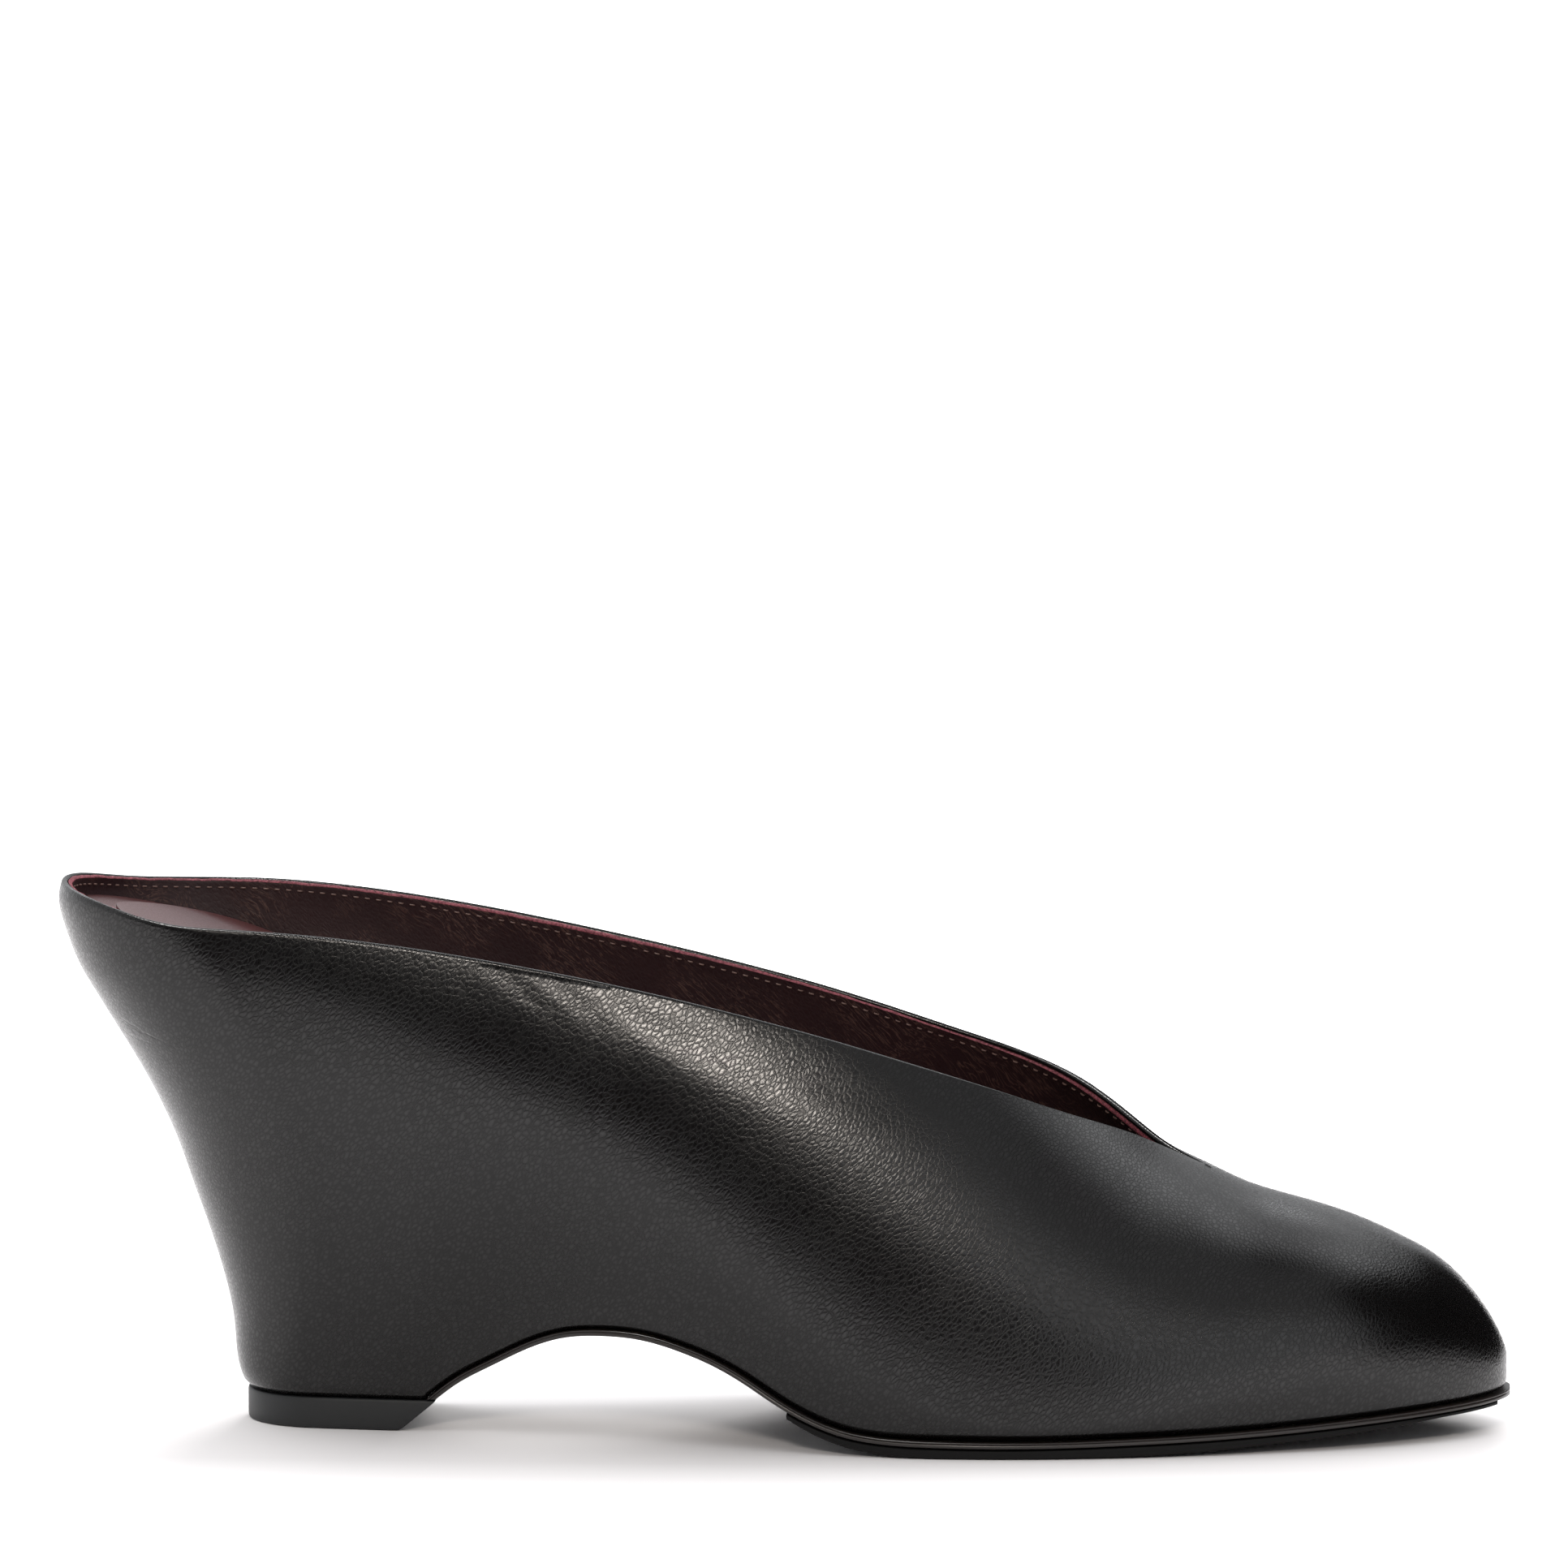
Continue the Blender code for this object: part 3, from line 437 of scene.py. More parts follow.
# %% Helpers for pieces
def make_piece(name, points, faces, materials, node, marks=None, sharp=40):
    mesh = bpy.data.meshes.new(name)
    mesh.from_pydata(np.asarray(points).tolist(), [], [list(map(int, f)) for f in faces])
    for look in materials:
        mesh.materials.append(look)
    if marks is not None:
        mesh.polygons.foreach_set("material_index", np.asarray(marks, dtype=np.int32))
    work = bmesh.new()
    work.from_mesh(mesh)
    bmesh.ops.remove_doubles(work, verts=work.verts, dist=1e-7)
    bmesh.ops.recalc_face_normals(work, faces=work.faces)
    if work.calc_volume(signed=True) < 0:
        bmesh.ops.reverse_faces(work, faces=work.faces)
    work.to_mesh(mesh)
    work.free()
    mesh.shade_smooth()
    mesh.set_sharp_from_angle(angle=math.radians(sharp))
    thing = bpy.data.objects.new(name, mesh)
    bpy.context.scene.collection.objects.link(thing)
    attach(thing, "root")
    if node:
        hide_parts(node)
    print(f"{name}: {len(mesh.vertices)} points, {len(mesh.polygons)} faces")
    return thing


def ring_faces(count, size, offset=0):
    """Quads between closed rings of points, and a cap on each end."""
    faces = []
    for i in range(count - 1):
        for k in range(size):
            a = offset + i * size + k
            b = offset + i * size + (k + 1) % size
            faces.append((a, b, b + size, a + size))
    faces.append(tuple(offset + k for k in range(size)))
    faces.append(tuple(offset + (count - 1) * size + k for k in reversed(range(size))))
    return faces


# %% [markdown]
# ## Shader groups
# Leather grain and fine strands return in several finishes, so each is one node group with its own
# inputs. A group gives only values and heights that change over the surface, and the shader itself stays
# in the material. A few small helpers keep node trees short to write: a number is set on a socket, and a
# value that is itself a socket is linked to it.

# %% Helpers for node trees
def feed(tree, sockets, values):
    """Set plain values on the named sockets, and link the values that are sockets themselves."""
    for key, value in values.items():
        if isinstance(value, bpy.types.NodeSocket):
            tree.links.new(value, sockets[key])
        else:
            sockets[key].default_value = value


def add_node(tree, kind, values=None, **settings):
    made = tree.nodes.new(kind)
    for key, value in settings.items():
        setattr(made, key, value)
    feed(tree, made.inputs, values or {})
    return made


def calc(tree, operation, *values, clamp=False):
    """A maths node whose inputs are sockets or plain numbers."""
    return add_node(tree, "ShaderNodeMath", dict(enumerate(values)), operation=operation,
                    use_clamp=clamp).outputs[0]


def steer(tree, operation, *values):
    """The same for directions and places."""
    return add_node(tree, "ShaderNodeVectorMath", dict(enumerate(values)), operation=operation).outputs[0]


def own_place(tree):
    """Each point's place in the object's own metres."""
    return add_node(tree, "ShaderNodeTexCoord").outputs["Object"]


def noise(tree, place, scale, detail=2.0, roughness=0.5, output=0):
    values = {"Vector": place, "Scale": scale, "Detail": detail, "Roughness": roughness}
    return add_node(tree, "ShaderNodeTexNoise", values).outputs[output]


def centred(tree, value):
    """A value round a half, moved to lie round zero."""
    return calc(tree, "SUBTRACT", value, 0.5)


def turned(tree, place, angle):
    return add_node(tree, "ShaderNodeVectorRotate", {"Vector": place, "Angle": angle},
                    rotation_type="Y_AXIS").outputs[0]


def ranged(tree, value, low, high, to_low, to_high):
    values = {"Value": value, "From Min": low, "From Max": high, "To Min": to_low, "To Max": to_high}
    return add_node(tree, "ShaderNodeMapRange", values).outputs[0]


def new_group(name, inputs, outputs):
    """Empty node group with inputs (name: value) and outputs (names), all plain numbers."""
    tree = bpy.data.node_groups.new(name, "ShaderNodeTree")
    for title, value in inputs.items():
        made = tree.interface.new_socket(name=title, in_out="INPUT", socket_type="NodeSocketFloat")
        made.default_value = value
    for title in outputs:
        tree.interface.new_socket(name=title, in_out="OUTPUT", socket_type="NodeSocketFloat")
    return tree, tree.nodes.new("NodeGroupInput"), tree.nodes.new("NodeGroupOutput")


# %% Grain: pebbles of a full-grain hide, with fine pores
PEBBLE_DRIFT = 0.30 * MM
PEBBLE_ROUND = 0.62
PORES_PER_METRE = 5200.0


def grain_group():
    """Height and mask of small pebbles, stretched along the pull of the leather."""
    tree, given, gives = new_group(
        "hide_grain", {"Pebble mm": 0.5, "Stretch": 1.5, "Lean": 0.6, "Unevenness": 0.5},
        ("Height", "Pebble", "Patch"),
    )
    place = own_place(tree)
    leant = turned(tree, place, given.outputs["Lean"])
    drift = noise(tree, leant, 900.0, 1.0, output="Color")
    shifted = steer(tree, "ADD", leant, steer(tree, "MULTIPLY", drift, (PEBBLE_DRIFT,) * 3))
    squeeze = add_node(tree, "ShaderNodeCombineXYZ", {
        "X": calc(tree, "DIVIDE", 1.0, given.outputs["Stretch"]), "Y": 1.0, "Z": 1.0,
    })
    cells = add_node(tree, "ShaderNodeTexVoronoi", {
        "Vector": steer(tree, "MULTIPLY", shifted, squeeze.outputs[0]),
        "Scale": calc(tree, "DIVIDE", 1000.0, given.outputs["Pebble mm"]),
    }, feature="DISTANCE_TO_EDGE")
    near_edge = calc(tree, "MULTIPLY", cells.outputs["Distance"], 2.0, clamp=True)
    dome = calc(tree, "POWER", near_edge, PEBBLE_ROUND)
    pores = noise(tree, place, PORES_PER_METRE)
    patch = noise(tree, place, 45.0, 3.0, 0.6)
    uneven = calc(tree, "MULTIPLY", centred(tree, patch), given.outputs["Unevenness"])
    strength = calc(tree, "MULTIPLY_ADD", uneven, 2.0, 1.0)
    height = calc(tree, "MULTIPLY_ADD", dome, strength, calc(tree, "MULTIPLY", pores, 0.25))
    feed(tree, gives.inputs, {"Height": height, "Pebble": dome, "Patch": patch})
    return tree


GRAIN = grain_group()
print("group:", GRAIN.name)


# %% A material: one shader with its own constants
def new_material(name, **constants):
    """Principled material; keyword names are the shader's own sockets, with _ for a space."""
    made = bpy.data.materials.new(name)
    made.use_nodes = True
    shader = made.node_tree.nodes["Principled BSDF"]
    feed(made.node_tree, shader.inputs, {key.replace("_", " "): value for key, value in constants.items()})
    return made, made.node_tree, shader


def blend(tree, mask, dark, light):
    """Colour that runs from one to the other with a mask; each is three numbers or a socket."""
    ends = [end if isinstance(end, bpy.types.NodeSocket) else (*end, 1.0) for end in (dark, light)]
    return add_node(tree, "ShaderNodeMix", {0: mask, 6: ends[0], 7: ends[1]}, data_type="RGBA").outputs[2]


def bumped(tree, height, strength, distance):
    return add_node(tree, "ShaderNodeBump",
                    {"Strength": strength, "Distance": distance, "Height": height}).outputs[0]


def place_grain(tree, pebble, stretch, lean, unevenness):
    values = {"Pebble mm": pebble, "Stretch": stretch, "Lean": lean, "Unevenness": unevenness}
    return add_node(tree, "ShaderNodeGroup", values, node_tree=GRAIN).outputs


# %% [markdown]
# ## Finishes
# The cover is black nappa: a supple hide with a fine pebble grain and a satin wax finish. Black leather
# shows almost no colour of its own. What the eye reads is the reflection of the studio, broken up by the
# grain, so the roughness and the bump matter more than the base colour. That colour is painted a little
# darker in the creases between the pebbles, as painted shade. Wax polishes the tops of the pebbles and
# misses the creases, so the pebbles also mask a thin clear coat. Where the hide was bent over the last it
# kept a few short wrinkles. A picture of them would be one way. Here each is a soft groove from a row of a
# table, so that it lies where it belongs at any size.

# %% Fine wrinkles, placed where the hide bends
WRINKLES = (  # x mm, z mm, half length mm, lean in degrees, half width mm, depth
    (-31.5, 67.2, 3.2, -22.0, 0.16, 2.2), (-29.0, 66.0, 4.2, -17.0, 0.14, 2.0),
    (-29.5, 64.6, 3.0, -12.0, 0.15, 1.5), (-33.0, 65.6, 2.2, -30.0, 0.14, 1.6),
    (26.0, 75.0, 5.0, -12.0, 0.34, 0.45), (36.0, 73.0, 6.0, -15.0, 0.36, 0.45),
    (68.0, 62.5, 4.0, -38.0, 0.30, 1.0), (72.5, 60.0, 4.0, -42.0, 0.30, 0.9),
)
WRINKLE_SWAY_MM = 0.9


def placed_wrinkles(tree):
    """Sum of short soft grooves on the outer side, from the table of wrinkles."""
    place = own_place(tree)
    axes = add_node(tree, "ShaderNodeSeparateXYZ", {0: place}).outputs
    sway = calc(tree, "MULTIPLY", centred(tree, noise(tree, place, 420.0)), WRINKLE_SWAY_MM)
    x_mm = calc(tree, "MULTIPLY", axes["X"], 1000.0)
    z_mm = calc(tree, "MULTIPLY_ADD", axes["Z"], 1000.0, sway)
    total = 0.0
    for x, z, length, lean, width, depth in WRINKLES:
        cos, sin = math.cos(math.radians(lean)), math.sin(math.radians(lean))
        dx, dz = calc(tree, "SUBTRACT", x_mm, x), calc(tree, "SUBTRACT", z_mm, z)
        run = calc(tree, "MULTIPLY_ADD", dx, cos, calc(tree, "MULTIPLY", dz, sin))
        side = calc(tree, "MULTIPLY_ADD", dz, cos, calc(tree, "MULTIPLY", dx, -sin))
        run = calc(tree, "POWER", calc(tree, "DIVIDE", run, length), 2.0)
        side = calc(tree, "POWER", calc(tree, "DIVIDE", side, width), 2.0)
        fade = calc(tree, "EXPONENT", calc(tree, "MULTIPLY", calc(tree, "ADD", run, side), -1.0))
        total = calc(tree, "MULTIPLY_ADD", fade, depth, total)
    return calc(tree, "MULTIPLY", total, calc(tree, "LESS_THAN", axes["Y"], 0.0))


# %% Black nappa of the cover
def black_nappa():
    look, tree, shader = new_material("black_nappa", IOR=1.46, Coat_IOR=1.5, Coat_Roughness=0.16)
    grain = place_grain(tree, 0.66, 1.9, 0.85, 0.5)
    rough = ranged(tree, grain["Pebble"], 0.2, 1.0, 0.27, 0.13)
    worn = ranged(tree, grain["Patch"], 0.3, 0.7, -0.02, 0.03)
    height = calc(tree, "SUBTRACT", grain["Height"], placed_wrinkles(tree))
    # Base colour: darker in the creases between the pebbles, painted shade.
    feed(tree, shader.inputs, {
        "Base Color": blend(tree, grain["Pebble"], (0.0012, 0.0010, 0.0010), (0.0036, 0.0030, 0.0031)),
        "Coat Weight": ranged(tree, grain["Pebble"], 0.30, 0.85, 0.0, 0.30),
        "Roughness": calc(tree, "ADD", rough, worn),
        "Normal": bumped(tree, height, 0.6, 0.000040),
    })
    return look


BLACK = black_nappa()


# %% [markdown]
# ## Wine leather inside
# The lining is a thinner, softer hide in dark wine. Its fine slanting wrinkles are bumped in and also get a
# painted highlight, a lighter colour along them, thick in some patches and absent in others. They are the
# thin lines where a stretched noise passes through its middle value. The footbed and the pad on it are the
# same hide in a lighter colour, and smoother.

# %% Strands: fine slanting wrinkles of a soft lining hide
def strands_group():
    tree, given, gives = new_group(
        "hide_strands", {"Spacing mm": 0.6, "Lean": -0.75, "Cover": 0.5}, ("Line",),
    )
    place = own_place(tree)
    sway = centred(tree, noise(tree, place, 110.0, 1.0))
    angle = calc(tree, "MULTIPLY_ADD", sway, 0.12, given.outputs["Lean"])
    squeezed = steer(tree, "MULTIPLY", turned(tree, place, angle), (0.16, 0.4, 1.0))
    fibres = noise(tree, squeezed, calc(tree, "DIVIDE", 1000.0, given.outputs["Spacing mm"]), 2.0, 0.55)
    away = calc(tree, "ABSOLUTE", centred(tree, fibres))
    line = calc(tree, "MULTIPLY_ADD", away, -26.0, 1.0, clamp=True)
    patch = calc(tree, "SUBTRACT", noise(tree, place, 75.0), 1.0)
    where = calc(tree, "MULTIPLY", calc(tree, "ADD", patch, given.outputs["Cover"]), 6.0, clamp=True)
    feed(tree, gives.inputs, {"Line": calc(tree, "MULTIPLY", line, where)})
    return tree


STRANDS = strands_group()


# %% Wine leather of lining, footbed and pad
def wine_leather(name, dark, light, rough, pebble, depth, cover, strand_painted_highlight):
    look, tree, shader = new_material(name, IOR=1.48)
    grain = place_grain(tree, pebble, 2.2, -0.9, 0.7)
    line = add_node(tree, "ShaderNodeGroup", {"Cover": cover}, node_tree=STRANDS).outputs["Line"]
    height = calc(tree, "MULTIPLY_ADD", line, 0.6, grain["Height"])
    # Base colour: random tone from the grain's patches, and a painted highlight in a lighter colour along
    # the strand lines.
    feed(tree, shader.inputs, {
        "Base Color": blend(tree, line, blend(tree, grain["Patch"], dark, light), strand_painted_highlight),
        "Roughness": ranged(tree, grain["Pebble"], 0.0, 1.0, rough + 0.12, rough),
        "Normal": bumped(tree, height, 0.5, depth),
    })
    return look


LINING = wine_leather("wine_lining", (0.013, 0.004, 0.005), (0.028, 0.008, 0.009),
                      0.45, 0.6, 0.00006, 0.60, (0.085, 0.042, 0.033))
FOOTBED_LOOK = wine_leather("wine_footbed", (0.050, 0.013, 0.014), (0.075, 0.020, 0.020),
                            0.32, 0.4, 0.00003, 0.35, (0.12, 0.045, 0.04))


# %% [markdown]
# ## Edges and hard parts
# A cut edge shows the fuzzy inside of the hide, which takes dye unevenly, so it is rough and its crimson
# changes from fibre to fibre. The sole edge is ground, dyed and waxed, and rubber is moulded: both are
# smooth with long faint streaks. One function makes all of these from their own colours and roughness.

# %% Raw edge: dyed crimson flesh side of the lining
def raw_edge():
    look, tree, shader = new_material("crimson_edge", IOR=1.45)
    fibres = noise(tree, own_place(tree), 2600.0, 3.0)
    mask = ranged(tree, fibres, 0.32, 0.68, 0.0, 1.0)
    feed(tree, shader.inputs, {
        "Base Color": blend(tree, mask, (0.06, 0.008, 0.013), (0.27, 0.050, 0.072)),
        "Roughness": ranged(tree, fibres, 0.3, 0.7, 0.9, 0.65),
        "Normal": bumped(tree, fibres, 0.6, 0.00008),
    })
    return look


CRIMSON = raw_edge()


# %% Sole edge, tread, top piece, wedge and thread
def sole_finish(name, dark, light, rough_low, rough_high, streak, depth, coat=0.0, ior=1.5):
    """Smooth dark finish with long streaks, as a waxed edge or moulded rubber has."""
    look, tree, shader = new_material(name, IOR=ior, Coat_Weight=coat, Coat_Roughness=0.2)
    place = own_place(tree)
    pulled = add_node(tree, "ShaderNodeMapping", {"Vector": place, "Scale": (streak, 1.0, 1.0)}).outputs[0]
    broad = noise(tree, place, 60.0, 3.0)
    feed(tree, shader.inputs, {
        "Base Color": blend(tree, broad, dark, light),
        "Roughness": ranged(tree, broad, 0.3, 0.7, rough_low, rough_high),
        "Normal": bumped(tree, noise(tree, pulled, 2400.0, 4.0, 0.6), 0.4, depth),
    })
    return look


SOLE_EDGE = sole_finish("waxed_sole", (0.008, 0.006, 0.005), (0.016, 0.011, 0.009), 0.30, 0.42, 0.15,
                        0.00004, 0.3)
TREAD_LOOK = sole_finish("tread_rubber", (0.005,) * 3, (0.008,) * 3, 0.46, 0.60, 0.3, 0.00003, ior=1.24)
LIFT_LOOK = sole_finish("lift_rubber", (0.008, 0.009, 0.010), (0.013, 0.014, 0.015), 0.48, 0.60, 0.3,
                        0.00004)
WEDGE_LOOK = sole_finish("wedge_board", (0.16, 0.11, 0.07), (0.25, 0.18, 0.12), 0.7, 0.85, 0.2, 0.0002)
THREAD = sole_finish("lining_thread", (0.090, 0.045, 0.038), (0.19, 0.115, 0.095), 0.40, 0.50, 1.0,
                     0.00003)
print("finishes:", len(bpy.data.materials))

# %% [markdown]
# ## The cover
# The black leather is one skin, about a millimetre thick. At the collar it is folded over to the inside,
# so its edge is round, and at the bottom it curls in under the shoe before it meets the sole. The piece is
# a closed solid: outer face, fold, inner face and lower edge. A few soft dents are pressed in where the
# hide is pulled over the heel's corner and where the foot bends it.

# %% Soft troughs in the hide
COVER_WALL = 1.05 * MM
FOLD = 0.58 * MM
CURL_HEIGHT = 1.5 * MM
CURL_DEPTH = 0.55 * MM
DENTS = (  # along, height share, length mm, lean in degrees, depth mm, width mm
    (0.060, 0.775, 7.0, -14.0, 0.10, 1.0),
    (0.075, 0.750, 8.0, -10.0, 0.09, 1.1),
    (0.085, 0.722, 6.0, -6.0, 0.06, 1.2),
    (0.330, 0.870, 9.0, 38.0, 0.10, 2.2),
    (0.365, 0.850, 10.0, 36.0, 0.12, 2.4),
    (0.400, 0.830, 11.0, 34.0, 0.10, 2.6),
    (0.455, 0.765, 14.0, 30.0, 0.14, 4.0),
    (0.535, 0.700, 16.0, 24.0, 0.14, 5.0),
)


def dent_depth(at, height):
    """How far the hide is pressed in at a place, in metres."""
    total = np.zeros_like(at)
    for along, share, length, lean, depth, width in DENTS:
        dx = (at - along) * LENGTH / MM
        dz = (height - share * HEEL_HEIGHT) / MM
        turn = math.radians(lean)
        run = (dx * math.cos(turn) - dz * math.sin(turn)) / length
        side = (dx * math.sin(turn) + dz * math.cos(turn)) / width
        total += depth * MM * np.exp(-run ** 2 - side ** 2) * (1 - 0.8 * side ** 2)
    return total


def curl_in(height_above):
    """How far the lower edge turns in towards the sole."""
    near = np.clip(1 - height_above / CURL_HEIGHT, 0.0, 1.0)
    return CURL_DEPTH * (1 - np.sqrt(1 - near ** 2))


# %% A closed skin from two sheets
def arc_profile(steps):
    """Round fold: depth into the wall and rise out of the edge, from outside to inside."""
    turn = np.linspace(0.0, np.pi, steps + 1)
    return [(0.5 * COVER_WALL * (1 - math.cos(t)), FOLD * (math.sin(t) - 1)) for t in turn]


def band_faces(lower, upper):
    """Quads between two closed rows of corners."""
    return [(lower[k], lower[k - 1], upper[k - 1], upper[k]) for k in range(len(lower))]


def closed_skin(name, outer, inner, edge, looks, edge_mark=0):
    """Solid of an outer and an inner sheet, joined at the foot and by the rows of the collar's edge."""
    outer[rim_loop], inner[rim_loop] = edge[0], edge[-1]
    count, size, foot = len(outer), len(rim_loop), sheet.foot()
    faces = [tuple(f) for f in sheet.faces]
    faces += [tuple(f[::-1] + count) for f in sheet.faces]
    faces += band_faces(foot, foot + count)
    marks = [0] * len(faces)
    rows = [rim_loop] + [2 * count + k * size + np.arange(size) for k in range(len(edge) - 2)]
    rows.append(rim_loop + count)
    for low, high in zip(rows, rows[1:]):
        faces += band_faces(low, high)
    marks += [edge_mark] * (len(faces) - len(marks))
    points = np.concatenate([outer, inner] + edge[1:-1])
    return make_piece(name, points, faces, looks, "upper", marks, sharp=70)


# %% Cover with its folded collar
FOLD_STEPS = 8


def cover():
    press = dent_depth(sheet.at, sheet.height) + curl_in(sheet.height - crease(sheet.at))
    outer = sheet.points - press[:, None] * sheet.normals
    foot = sheet.foot()
    outer[foot, 2] = crease(sheet.at[foot])
    fold = [rim_place - depth * rim_out + rise * rim_up for depth, rise in arc_profile(FOLD_STEPS)]
    return closed_skin("cover", outer, moved_in(COVER_WALL), fold, [BLACK])


cover()

# %% [markdown]
# ## The lining and its raw edge
# Inside the cover lies a wine-coloured lining. It isn't folded: its cut edge stands just below the fold
# and is dyed crimson, which draws the fine red line round the collar. The line sits higher at the heel
# and a little lower towards the throat, so the drop is a short table too.

# %% Lining as a closed skin with a rounded raw edge
LINING_FROM = 1.10 * MM
LINING_TO = 1.85 * MM
EDGE_STEPS = 7
EDGE_FORM = (  # along, drop below the fold in mm, height of the round edge in mm
    (0.00, 0.22, 0.26), (0.10, 0.22, 0.24), (0.30, 0.24, 0.34), (0.45, 0.32, 0.52),
    (0.60, 0.52, 0.72), (0.79, 0.60, 0.75),
)
edge_drop, edge_round = smooth_line(EDGE_FORM, 1), smooth_line(EDGE_FORM, 2)


def raw_edge_rows(steps):
    """Rows of points over the raw edge, from the fold's side to the inside of the lining."""
    along = np.arange(len(rim_loop))
    wave = 0.06 * MM * np.sin(along * 0.9) * np.sin(along * 0.23) + 0.03 * MM * np.sin(along * 2.3)
    drop = edge_drop(rim_share) * MM + wave
    high = edge_round(rim_share) * MM
    rows = []
    for turn in np.linspace(0.0, 0.5 * np.pi, steps + 1):
        depth = LINING_FROM + (LINING_TO - LINING_FROM) * math.sin(turn)
        fall = drop + high * (1 - math.cos(turn))
        rows.append(rim_place - depth * rim_out - fall[:, None] * rim_up)
    return rows


closed_skin("lining", moved_in(LINING_FROM), moved_in(LINING_TO), raw_edge_rows(EDGE_STEPS),
            [LINING, CRIMSON], edge_mark=1)

# %% [markdown]
# ## Footbed and pad
# The footbed is a thin layer that follows the inside of the lining. Its outline is found where each wall
# line crosses the footbed's height, so it fits the upper everywhere. A soft pad with a crimson cut edge
# lies on it from the heel to the ball of the foot.

# %% Where the wall lines cross the footbed
INSOLE_THICK = 2.2 * MM
SOCK_THICK = 0.8 * MM
SOCK_INSET = 2.2 * MM
SOCK_FROM, SOCK_TO = 0.0400, 0.6500


def crossing(points, side):
    """For each wall line the point where it passes the top of the footbed."""
    grid = points[sheet.index[side]]
    over = grid[:, :, 2] - footbed((grid[:, :, 0] + BACK_OVERHANG) / LENGTH)
    found = []
    for line, gap in zip(grid, over):
        rises = np.nonzero((gap[:-1] < 0) & (gap[1:] >= 0))[0]
        if len(rises) == 0:
            continue
        k = rises[0]
        part = -gap[k] / (gap[k + 1] - gap[k])
        found.append(line[k] + part * (line[k + 1] - line[k]))
    return np.array(found)


bed_sheet = moved_in(LINING_TO + FIT_GAP)
bed_out, bed_in = crossing(bed_sheet, 0), crossing(bed_sheet, 1)
print("footbed edge:", len(bed_out), len(bed_in), "points,",
      [round(v * 1000, 1) for v in (bed_out[:, 0].min(), bed_out[:, 0].max())])


def bed_half(x, rim, inset):
    """Distance across from the middle line to the footbed's edge, moved in."""
    order = np.argsort(rim[:, 0])
    side = rim[order, 1] - BALL_WIDTH * middle_line((rim[order, 0] + BACK_OVERHANG) / LENGTH)
    return np.maximum(np.abs(np.interp(x, rim[order, 0], side)) - inset, 0.0)


# %% A soft layer across the shoe
def soft_layer(name, xs, halves, lift, thick, crown, looks, node, rounding=0.35 * MM, across=24):
    """Closed layer: for each place along, a ring over the top and back underneath."""
    rings = []
    share = np.sin(np.linspace(-0.5, 0.5, across + 1) * np.pi)
    for x, out, inn in zip(xs, *halves):
        at = (x + BACK_OVERHANG) / LENGTH
        shift = BALL_WIDTH * middle_line(at)
        side = np.where(share < 0, share * out, share * inn)
        edge = np.minimum((1 - np.abs(share)) * max(out, inn), rounding)
        fall = rounding - np.sqrt(np.maximum(rounding ** 2 - (rounding - edge) ** 2, 0.0))
        top = footbed(at) + lift + crown * (1 - share ** 2) - fall
        low = np.full_like(top, footbed(at) + lift - thick)
        upper_row, lower_row = (np.column_stack([np.full_like(side, x), shift + side, height])
                                for height in (np.maximum(top, low + 0.05 * MM), low))
        rings.append(np.concatenate([upper_row, lower_row[::-1]]))
    size = 2 * (across + 1)
    faces = ring_faces(len(rings), size)
    marks = [0] * len(faces)
    if len(looks) > 1:
        for i in range(len(rings) - 1):
            for k in (0, across - 1, across, size - 1):
                marks[i * size + k] = 1
        marks[-1] = marks[-2] = 1
    return make_piece(name, np.concatenate(rings), faces, looks, node, marks, sharp=50)


def along_rows(start, end, count):
    """Places along the shoe, closer together at both ends."""
    return start + (end - start) * (0.5 - 0.5 * np.cos(np.pi * np.arange(count + 1) / count))


# %% Footbed
LEAST_HALF = 0.1 * MM
bed_start = min(bed_out[:, 0].min(), bed_in[:, 0].min()) + 0.01 * MM
bed_end = max(bed_out[:, 0].max(), bed_in[:, 0].max()) - 0.4 * MM
bed_xs = along_rows(bed_start, bed_end, 150)
bed_halves = [np.maximum(bed_half(bed_xs, rim, 0.0), LEAST_HALF) for rim in (bed_out, bed_in)]
soft_layer("footbed", bed_xs, bed_halves, 0.0, INSOLE_THICK, 0.0, [FOOTBED_LOOK], "insole")

# %% [markdown]
# ## The pad
# The sock pad is thin foam under leather, so its top is a little crowned and its rim rolls down to the
# crimson cut edge. Thick cushions are often made by cloth simulation, on a mesh of voxels 4 to 6 mm wide.
# This pad is thinner than one such voxel, so the same layer function makes it, with round ends.

# %% Pad with a crimson edge
PAD_ROUND = 20.0 * MM
SOCK_CROWN = 0.15 * MM
pad_start = SOCK_FROM * LENGTH - BACK_OVERHANG
pad_end = SOCK_TO * LENGTH - BACK_OVERHANG
pad_xs = along_rows(pad_start, pad_end, 120)


def pad_closing(xs):
    """The pad's ends are round: this share of its width is left near them."""
    heel = np.clip((xs - pad_start) / PAD_ROUND, 0.0, 1.0)
    front = np.clip((pad_end - xs) / PAD_ROUND, 0.0, 1.0)
    return np.sqrt(1 - (1 - heel) ** 2) * np.sqrt(1 - (1 - front) ** 4)


pad_halves = [np.maximum(bed_half(pad_xs, rim, SOCK_INSET) * pad_closing(pad_xs), LEAST_HALF)
              for rim in (bed_out, bed_in)]
sock_piece = soft_layer("sock", pad_xs, pad_halves, FIT_GAP + SOCK_THICK, SOCK_THICK, SOCK_CROWN,
                        [FOOTBED_LOOK, CRIMSON], "sock_pad")

# %% [markdown]
# ## Stitches
# The lining is sewn to the turned edge of the cover, a millimetre and a half below the top. Each stitch
# is a short thread that comes out of the leather, lies on it and goes back in. A bump could only draw it.
# Here one stitch is a bent capsule, and a loop sets it down all round the collar, one every 1.9 mm.

